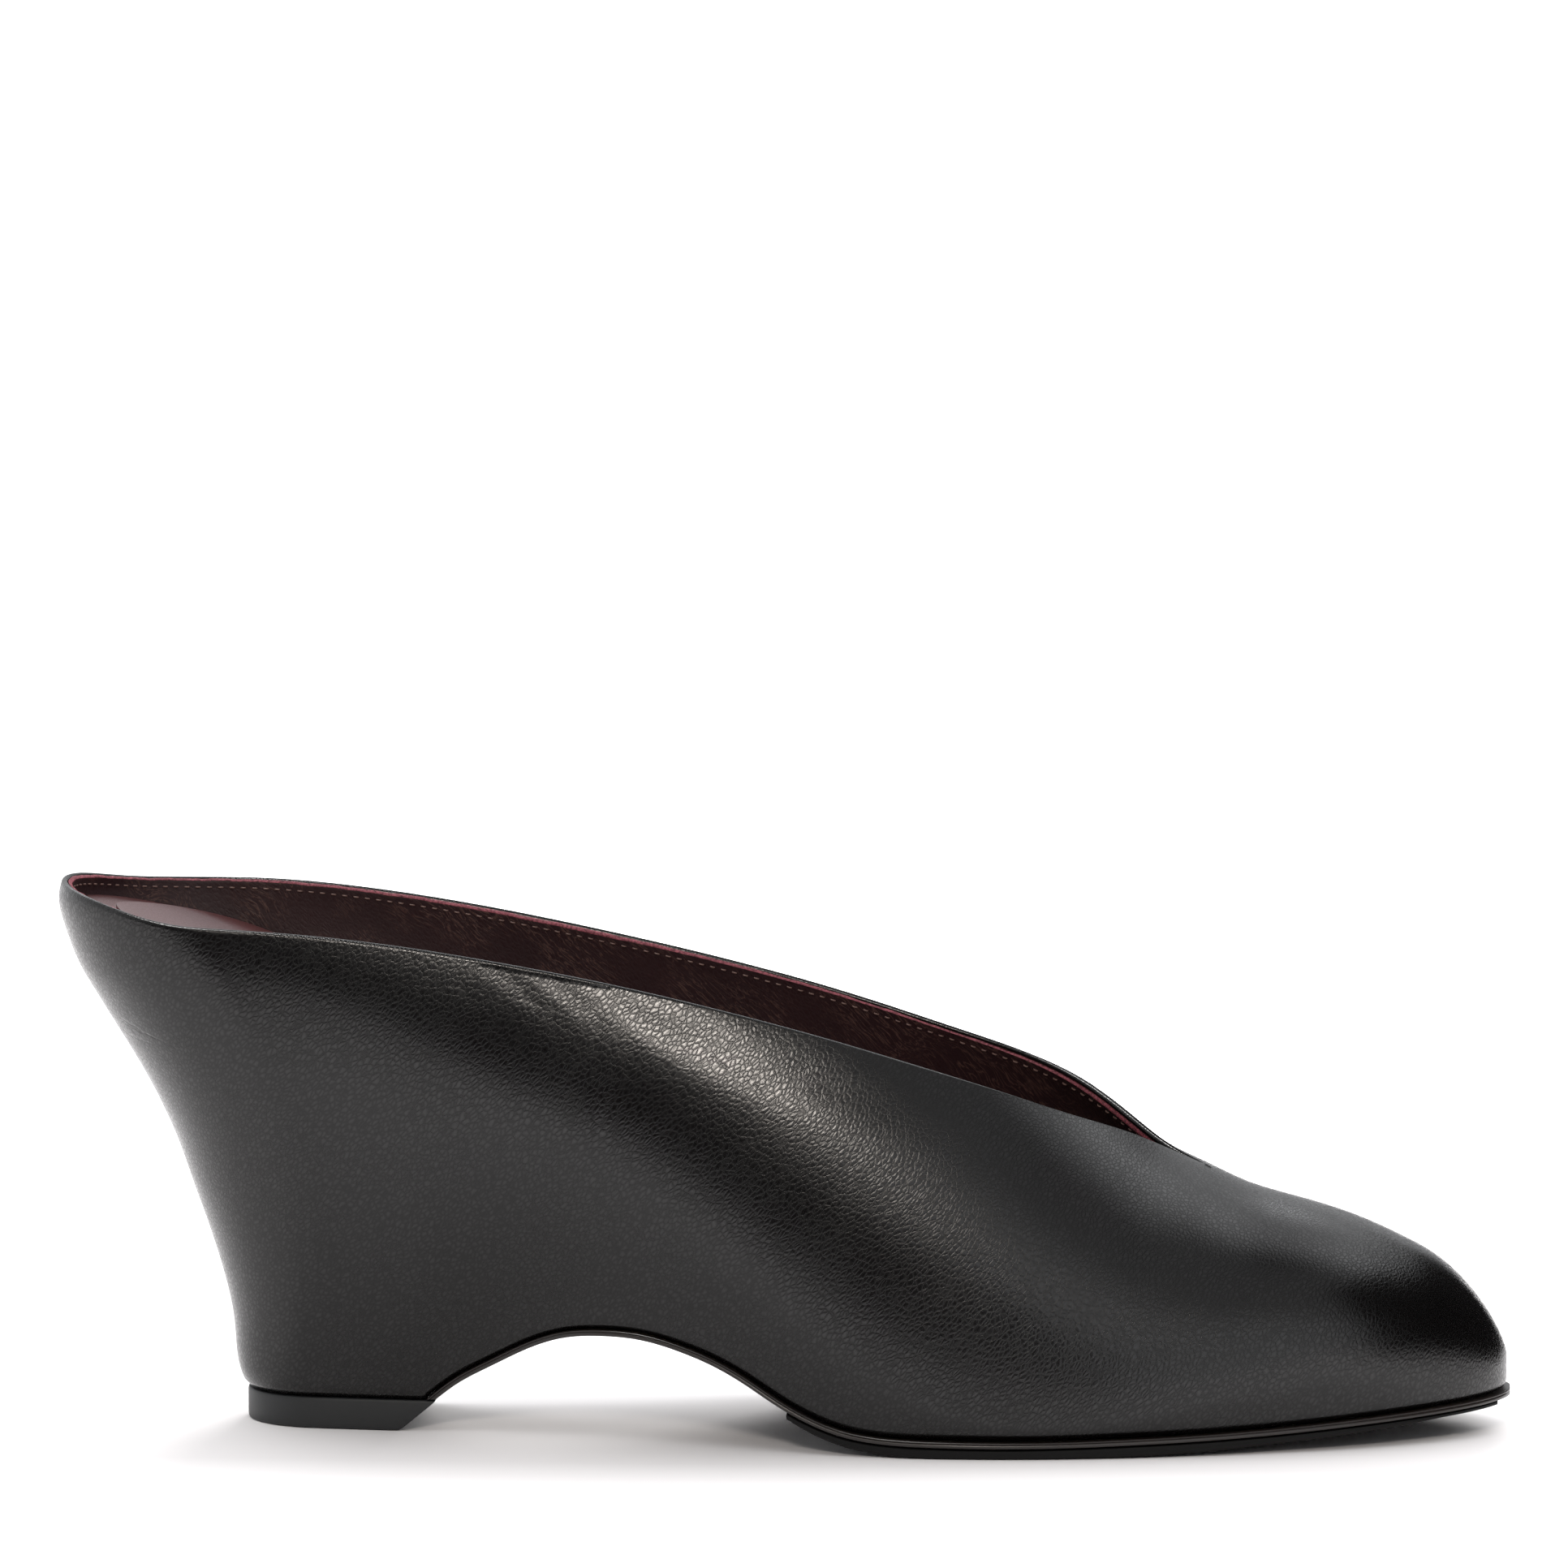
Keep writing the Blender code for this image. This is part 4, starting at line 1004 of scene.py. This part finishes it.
# %% One bent thread for each stitch
STITCH_PITCH = 1.9 * MM
STITCH_LONG = 1.05 * MM
THREAD_RADIUS = 0.15 * MM
STITCH_BELOW = 1.55 * MM
STITCH_RISE = 0.30 * MM
NO_STITCHES = 5
THREAD_RINGS, THREAD_SIDES = 7, 7


def thread_rings(centre, along, out, length, radius, rise):
    """Rings of a short thread that rises out of the leather and dips back in."""
    made = []
    across = np.cross(along, out)
    for share in np.linspace(-1.0, 1.0, THREAD_RINGS):
        lift = rise * (1 - share ** 4) - radius
        size = radius * math.sqrt(max(1 - 0.9 * share ** 6, 0.05))
        middle = centre + along * (0.5 * length * share) + out * lift
        for k in range(THREAD_SIDES):
            turn = 2 * math.pi * k / THREAD_SIDES
            made.append(middle + size * (math.cos(turn) * out + math.sin(turn) * across))
    return made


def stitches():
    """Thread all round the collar, but for a few steps on each side of the V."""
    place = rim_place - LINING_TO * rim_out - STITCH_BELOW * rim_up
    ring = np.vstack([place, place[:1]])
    run = np.concatenate([[0.0], np.cumsum(np.linalg.norm(np.diff(ring, axis=0), axis=1))])
    facing = np.vstack([rim_out, rim_out[:1]])
    count = int(run[-1] / STITCH_PITCH)
    points, faces = [], []
    for n in range(NO_STITCHES, count - NO_STITCHES):
        spots = [(n + 0.5) * STITCH_PITCH + step for step in (-0.3 * MM, 0.0, 0.3 * MM)]
        before, centre, after = (np.array([np.interp(s, run, ring[:, k]) for k in range(3)]) for s in spots)
        along = (after - before) / np.linalg.norm(after - before)
        inward = -np.array([np.interp(spots[1], run, facing[:, k]) for k in range(3)])
        inward /= np.linalg.norm(inward)
        faces += ring_faces(THREAD_RINGS, THREAD_SIDES, len(points))
        points += thread_rings(centre, along, inward, STITCH_LONG, THREAD_RADIUS, STITCH_RISE)
    print("stitches:", count - 2 * NO_STITCHES)
    return make_piece("lining_stitches", points, faces, [THREAD], "", sharp=80)


stitches()

# %% [markdown]
# ## The bar tack
# The V ends in a slit that would tear when the foot goes in, so a few threads are sewn across its end.
# They are the same bent capsule as a stitch, longer, side by side on the ridge of the vamp.

# %% Bar of thread at the bottom of the V
BAR_THREADS = 5
BAR_LONG = 2.6 * MM
BAR_RADIUS, BAR_RISE = 0.14 * MM, 0.2 * MM


def bar_tack():
    """Short threads side by side across the end of the slit, so that it can't tear."""
    throat = sheet.points[sheet.index[0, sheet.throat, sheet.rows]]
    out = sheet.normals[sheet.index[0, sheet.throat - 1, sheet.rows]]
    across = np.array([0.0, 1.0, 0.0])
    forward = np.cross(across, out)
    forward /= np.linalg.norm(forward)
    forward *= np.sign(forward[0])
    points, faces = [], []
    for n in range(BAR_THREADS):
        centre = throat + forward * (0.1 + 0.24 * n) * MM
        faces += ring_faces(THREAD_RINGS, THREAD_SIDES, len(points))
        points += thread_rings(centre, across, out, BAR_LONG, BAR_RADIUS, BAR_RISE)
    return make_piece("bar_tack", points, faces, [BLACK], "", sharp=80)


bar_tack()

# %% [markdown]
# ## The sole
# A thin leather sole runs from the toe through the arch to the heel. Its edge stands a little proud of
# the upper, with a fine bead at the top and a groove below it. Under the forefoot a second layer wears
# against the floor. Both are swept along the crease line, a section at each place.

# %% Outline of the sole
SOLE_PROUD = 0.7 * MM
SOLE_THICK = 1.0 * MM
TREAD_INSET = 0.4 * MM
TREAD_LEAST = 0.5 * MM
SOLE_TIP_AT = 1.0006
SOLE_STEPS = 260


def sole_outline(inner):
    """Half width of the sole by place along, proud of the upper's lower edge."""
    root = np.linspace(0.0, 1.0, 321)
    at = TIP_AT - (TIP_AT - BREAST_AT) * root ** 2
    along, across = at * LENGTH, half_width(at, crease(at), inner)
    run, rise = np.gradient(along), np.gradient(across)
    length = np.hypot(run, rise)
    fade = np.clip((at - 0.40) / 0.20, 0.0, 1.0)
    proud = SOLE_PROUD * (0.15 + 0.85 * fade)
    new_at = (along + proud * rise / length) / LENGTH
    new_half = across - proud * run / length
    order = np.argsort(new_at)
    return new_at[order], new_half[order]


OUTLINES = {inner: sole_outline(inner) for inner in (False, True)}


def sole_half(at, inner, inset=0.0):
    ats, halves = OUTLINES[inner]
    return max(float(np.interp(at + inset / LENGTH, ats, halves)) - inset, 0.3 * MM)


def below(at, depth):
    """The crease line moved square to itself by a depth: place along and height."""
    step = 0.002
    back = at if at - step < BREAST_AT else at - step
    rise = float(crease(at + step) - crease(back)) / ((at + step - back) * LENGTH)
    size = math.hypot(1.0, rise)
    return at + depth * rise / size / LENGTH, float(crease(at)) - depth / size


def level_crossing(depth):
    """Where the moved crease line comes down to the top piece, behind the arch."""
    high, low = CREST_AT, BREAST_AT
    for _ in range(40):
        mid = 0.5 * (high + low)
        if below(mid, depth)[1] > BASE_HEIGHT:
            high = mid
        else:
            low = mid
    return below(high, depth)[0]


# %% Sole with a beaded edge
SOLE_EDGE_FORM = (  # out from the edge in mm, and down as a share of the sole
    (-0.60, 0.00), (-0.22, 0.00), (-0.06, 0.06), (0.00, 0.16), (-0.06, 0.27), (-0.17, 0.32),
    (-0.10, 0.38), (-0.02, 0.50), (0.00, 0.68), (-0.06, 0.88), (-0.20, 0.99), (-0.60, 1.00),
)


def edge_ring(at, top, low):
    """Ring of a sole section: the edge form on both sides, joined across."""
    halves = sole_half(at, False), sole_half(at, True)
    shift = BALL_WIDTH * float(middle_line(at))
    ring = []
    for sign, half in ((-1, halves[0]), (1, halves[1])):
        scale = min(1.0, half / (1.2 * MM))
        side = []
        for reach, down in SOLE_EDGE_FORM:
            place, height = (high * (1 - down) + deep * down for high, deep in zip(top, low))
            y = shift + sign * (half + reach * MM * scale)
            side.append((place * LENGTH - BACK_OVERHANG, y, height))
        ring += side if sign < 0 else side[::-1]
    return ring


def outsole():
    """Leather sole, swept from its tip to where it meets the top piece."""
    rings = []
    for k in range(SOLE_STEPS + 1):
        at = SOLE_TIP_AT - (SOLE_TIP_AT - BREAST_AT) * (k / SOLE_STEPS) ** 1.6
        top, low = below(at, FIT_GAP), below(at, FIT_GAP + SOLE_THICK)
        if at < CREST_AT and low[1] < BASE_HEIGHT + 0.1 * SOLE_THICK:
            continue
        rings.append(edge_ring(at, top, low))
    top_end, low_end = level_crossing(FIT_GAP), level_crossing(FIT_GAP + SOLE_THICK)
    rings.append(edge_ring(top_end, (top_end, BASE_HEIGHT), (low_end, BASE_HEIGHT)))
    points = [p for ring in rings for p in ring]
    faces = ring_faces(len(rings), 2 * len(SOLE_EDGE_FORM))
    return make_piece("sole", points, faces, [SOLE_EDGE], "outsole", sharp=50)


outsole()

# %% [markdown]
# ## The tread
# The forefoot stands on a second layer of rubber, flat under the ball and turned up to the toe. Fine cross
# ribs give it grip, inside a plain margin. They are real grooves, so the sections are swept closely enough
# for each rib to have a flat top and bottom.

# %% Tread with fine cross ribs
TREAD_FROM, TREAD_TO = 0.5150, 0.9920
STANDS_FROM, STANDS_TO = 0.605, 0.668
RIB_PITCH = 1.6 * MM
RIB_DEPTH = 0.25 * MM
RIB_FIELD = 0.80
TREAD_ROUND = 0.35 * MM


def tread():
    """Forefoot layer, flat where it stands, with grooves inside a plain margin."""
    rings = []
    across = np.linspace(-1.0, 1.0, 25)
    steps = int((TREAD_TO - TREAD_FROM) * LENGTH / (0.25 * RIB_PITCH))
    for n in range(steps + 1):
        at = TREAD_TO - (TREAD_TO - TREAD_FROM) * n / steps
        top = below(at, SOLE_THICK + 2 * FIT_GAP)
        face = max(HEEL_HEIGHT * float(tread_line(at)), 0.0)
        face = 0.0 if STANDS_FROM <= at <= STANDS_TO else face
        face = min(face, top[1] - TREAD_LEAST)
        halves = (sole_half(at, False, TREAD_INSET), sole_half(at, True, TREAD_INSET))
        shift = BALL_WIDTH * float(middle_line(at))
        ends = min(1.0, (at - TREAD_FROM) * LENGTH / (6 * MM), (TREAD_TO - at) * LENGTH / (8 * MM))
        cut = RIB_DEPTH if (n // 2) % 2 and ends >= 1.0 else 0.0
        x = top[0] * LENGTH - BACK_OVERHANG
        round_by = min(TREAD_ROUND, 0.3 * (top[1] - face))
        ring = []
        for share in across:
            half = halves[0] if share < 0 else halves[1]
            y = shift + share * (half - round_by)
            groove = cut if abs(share) < RIB_FIELD else 0.0
            ring.append((x, y, face + groove))
        outer_y, inner_y = shift - halves[0], shift + halves[1]
        round_top, side_top, side_low = top[1], top[1] - 0.1 * MM, face + round_by
        ring += [(x, inner_y, side_low), (x, inner_y, side_top), (x, inner_y - 0.2 * MM, round_top),
                 (x, outer_y + 0.2 * MM, round_top), (x, outer_y, side_top), (x, outer_y, side_low)]
        rings.append(ring)
    points = [p for ring in rings for p in ring]
    faces = ring_faces(len(rings), len(rings[0]))
    return make_piece("ribbed_tread", points, faces, [TREAD_LOOK], "tread", sharp=35)


tread()

# %% [markdown]
# ## The top piece
# Under the heel sits a plate of dense rubber. Seen from below it is a D, with a slanted front face that
# carries on the curve of the arch. Its edges are worn round by a quarter of a millimetre.

# %% Top piece with worn edges
LIFT_SLANT = 6.2 * MM
LIFT_INSET = 0.2 * MM
LIFT_FORM = (  # height and inset in mm
    (0.00, 0.45), (0.12, 0.20), (0.35, 0.04), (0.80, 0.0), (4.70, 0.0), (5.05, 0.06), (5.20, 0.20),
)


def base_ring(height, front, inset, count=36):
    """D-shaped ring of the heel's foot, from one front corner round the back to the other."""
    back = float(back_at(BASE_HEIGHT)) + inset / LENGTH
    sides = []
    for inner in (False, True):
        turn = np.linspace(0.0, 1.0, count + 1)
        at = back + (front - back) * turn ** 2
        sample = np.maximum(at - inset / LENGTH, float(back_at(BASE_HEIGHT)))
        half = np.maximum(half_width(sample, np.full_like(sample, BASE_HEIGHT), inner) - inset, 0.0)
        corner = np.clip((front - at) * LENGTH / (0.8 * MM), 0.0, 1.0)
        half = half - 0.35 * MM * (1 - corner) ** 2
        side = BALL_WIDTH * middle_line(at) + (half if inner else -half)
        sides.append(np.column_stack([at * LENGTH - BACK_OVERHANG, side, np.full_like(at, height)]))
    return np.concatenate([sides[0][::-1], sides[1][1:]])


def top_piece():
    front_top = level_crossing(FIT_GAP + SOLE_THICK)
    rings = []
    for height, inset in LIFT_FORM:
        front = front_top - (LIFT_SLANT / LENGTH) * (1 - height * MM / LIFT_THICK) - inset * MM / LENGTH
        rings.append(base_ring(height * MM, front, LIFT_INSET + inset * MM))
    faces = ring_faces(len(rings), len(rings[0]))
    return make_piece("heel_top_piece", np.concatenate(rings), faces, [LIFT_LOOK],
                      "top_lift", sharp=45)


top_piece()

# %% [markdown]
# ## The wedge
# The core of the heel is closed in by the cover, so its plain solid is kept and only gets a board finish.

# %% Board finish of the wedge
wedge_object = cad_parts["heel_wedge"]
wedge_object = bpy.data.objects[wedge_object] if isinstance(wedge_object, str) else wedge_object
wedge_object.data.materials.clear()
wedge_object.data.materials.append(WEDGE_LOOK)

# %% [markdown]
# ## The studio
# Black leather shows the room rather than its own colour, so the room is built for its reflections. A
# white floor throws grey light up at the lower half of the wedge. A low black flag in front of the shoe
# makes the deep band along its side, a key box above the flag makes the long highlight under the collar,
# and a rim box draws the heel's edge. A lamp behind the arch lights the floor there and stays out of the
# reflections. The flags are never seen by the camera. Seen by the camera only, the floor also gets a
# painted glow that grows with distance from the shoe, so it reads white far off and keeps its shadows near
# the shoe.

# %% Floor
FLOOR_SIZE = 60.0
FAR_PAINTED_GLOW = 0.60
FOOT_MIDDLE, FOOT_HALF_LONG, FOOT_HALF_WIDE = 0.075, 0.115, 0.034
GLOW_FROM, GLOW_TO = 0.008, 0.085


def floor():
    bpy.ops.mesh.primitive_plane_add(size=FLOOR_SIZE)
    ground = bpy.context.active_object
    ground.name = "studio_floor"
    look, tree, shader = new_material("studio_floor", Roughness=0.9, IOR=1.2, Emission_Color=(1.0,) * 4)
    place = own_place(tree)
    seen = add_node(tree, "ShaderNodeLightPath").outputs["Is Camera Ray"]
    axes = add_node(tree, "ShaderNodeSeparateXYZ", {0: place}).outputs
    squares = []
    for axis, middle, half in (("X", FOOT_MIDDLE, FOOT_HALF_LONG), ("Y", 0.0, FOOT_HALF_WIDE)):
        beyond = calc(tree, "ABSOLUTE", calc(tree, "SUBTRACT", axes[axis], middle))
        beyond = calc(tree, "MAXIMUM", calc(tree, "SUBTRACT", beyond, half), 0.0)
        squares.append(calc(tree, "POWER", beyond, 2.0))
    away = calc(tree, "SQRT", calc(tree, "ADD", *squares))
    # Painted glow: emission seen only by the camera, none near the shoe and more with distance from it.
    far = ranged(tree, away, GLOW_FROM, GLOW_TO, 0.0, FAR_PAINTED_GLOW)
    feed(tree, shader.inputs, {
        "Base Color": blend(tree, noise(tree, place, 2.0), (0.865, 0.850, 0.856), (0.885, 0.868, 0.874)),
        "Emission Strength": calc(tree, "MULTIPLY", seen, far),
    })
    ground.data.materials.append(look)


floor()


# %% Directions by bearing and rise
def toward(bearing, rise):
    """Unit direction: bearing 0 is the outer side of the shoe, 90 the toe's side, in degrees."""
    turn, lift = math.radians(bearing), math.radians(rise)
    return Vector((math.sin(turn) * math.cos(lift), -math.cos(turn) * math.cos(lift), math.sin(lift)))


# %% Lights
SHOE_MIDDLE = Vector((0.07, 0.0, 0.05))


def add_lamp(name, data, place, aim):
    lamp = bpy.data.objects.new(name, data)
    lamp.location = place
    lamp.rotation_mode = "QUATERNION"
    lamp.rotation_quaternion = (Vector(aim) - Vector(place)).to_track_quat("-Z", "Y")
    bpy.context.scene.collection.objects.link(lamp)
    return lamp


def soft_box(name, bearing, rise, distance, width, height, radiance, colour):
    """Rectangle of light that faces the shoe, given by the radiance that its reflection shows."""
    data = bpy.data.lights.new(name, "AREA")
    data.shape = "RECTANGLE"
    data.size, data.size_y = width, height
    data.energy = radiance * math.pi * width * height
    data.color = colour
    return add_lamp(name, data, SHOE_MIDDLE + distance * toward(bearing, rise), SHOE_MIDDLE)


def overhead(name, bearing, rise, spread, strength):
    """Broad light from above that gives the floor its white and the shoe its soft shadow."""
    data = bpy.data.lights.new(name, "SUN")
    data.angle = math.radians(spread)
    data.energy = strength
    lamp = add_lamp(name, data, SHOE_MIDDLE + 3.0 * toward(bearing, rise), SHOE_MIDDLE)
    lamp.visible_glossy = False
    return lamp


overhead("overhead", 172.0, 67.0, 110.0, 2.4)
soft_box("key_box", 0.0, 30.5, 1.6, 0.30, 0.22, 34.0, (1.0, 0.92, 0.84))
rim_lamp = soft_box("rim_box", -60.0, 72.0, 1.3, 0.34, 0.34, 30.0, (1.0, 0.98, 0.96))
rim_lamp.visible_diffuse = False
soft_box("back_box", 192.0, 34.0, 2.2, 1.6, 0.7, 2.0, (0.95, 0.97, 1.0))
arch_lamp = soft_box("arch_box", 172.0, 13.0, 0.7, 0.30, 0.12, 50.0, (1.0, 0.99, 0.97))
arch_lamp.visible_glossy = False

# %% [markdown]
# ## Flags and room
# A dark leather needs dark things to reflect as well, or it turns grey all over. Black cards, called flags,
# stand in front of the side and beside the toe. The rest of the room is a dark world with a few soft
# patches of light, each given by its bearing and rise, as a photographer would place large reflectors.

# %% Flags: black cards on the floor
def flag(name, start, end, high):
    mesh = bpy.data.meshes.new(name)
    corners = [(*start, 0.0), (*end, 0.0), (*end, high), (*start, high)]
    mesh.from_pydata(corners, [], [(0, 1, 2, 3)])
    look, tree, shader = new_material(name, Roughness=1.0, Specular_IOR_Level=0.0)
    weave = add_node(tree, "ShaderNodeTexNoise", {"Scale": 400.0}).outputs[0]
    feed(tree, shader.inputs, {"Base Color": blend(tree, weave, (0.004,) * 3, (0.008,) * 3)})
    mesh.materials.append(look)
    card = bpy.data.objects.new(name, mesh)
    bpy.context.scene.collection.objects.link(card)
    card.visible_camera = card.visible_diffuse = card.visible_shadow = False


flag("side_flag", (-1.30, -0.55), (0.285, -0.55), 0.155)
flag("toe_flag", (0.265, -0.10), (0.265, 0.45), 0.16)

# %% Room: soft patches of light on dark walls
ROOM_DARK = 0.12
ROOM_PATCHES = (  # bearing, rise, full inside, gone outside (degrees), strength
    (27.0, 10.0, 13.0, 27.0, 1.00),
    (45.0, 48.0, 8.0, 26.0, 0.45),
    (195.0, 12.0, 25.0, 50.0, 0.40),
    (112.0, 46.0, 12.0, 30.0, 1.10),
    (145.0, 50.0, 14.0, 34.0, 0.75),
    (-100.0, 15.0, 35.0, 65.0, 0.70),
)


def room():
    world = bpy.data.worlds.new("studio_room")
    bpy.context.scene.world = world
    world.use_nodes = True
    tree = world.node_tree
    back = tree.nodes["Background"]
    place = add_node(tree, "ShaderNodeTexCoord").outputs["Generated"]
    total = ROOM_DARK
    for bearing, rise, full, gone, strength in ROOM_PATCHES:
        facing = add_node(tree, "ShaderNodeVectorMath", {0: place, 1: toward(bearing, rise)},
                          operation="DOT_PRODUCT")
        near, far = math.cos(math.radians(full)), math.cos(math.radians(gone))
        patch = ranged(tree, facing.outputs["Value"], far, near, 0.0, strength)
        total = calc(tree, "ADD", total, patch)
    feed(tree, back.inputs, {"Strength": total, "Color": (0.97, 0.98, 1.0, 1.0)})


room()
scene = bpy.context.scene
scene.view_settings.view_transform = "Standard"
scene.view_settings.look = "None"
scene.view_settings.exposure = 0.0
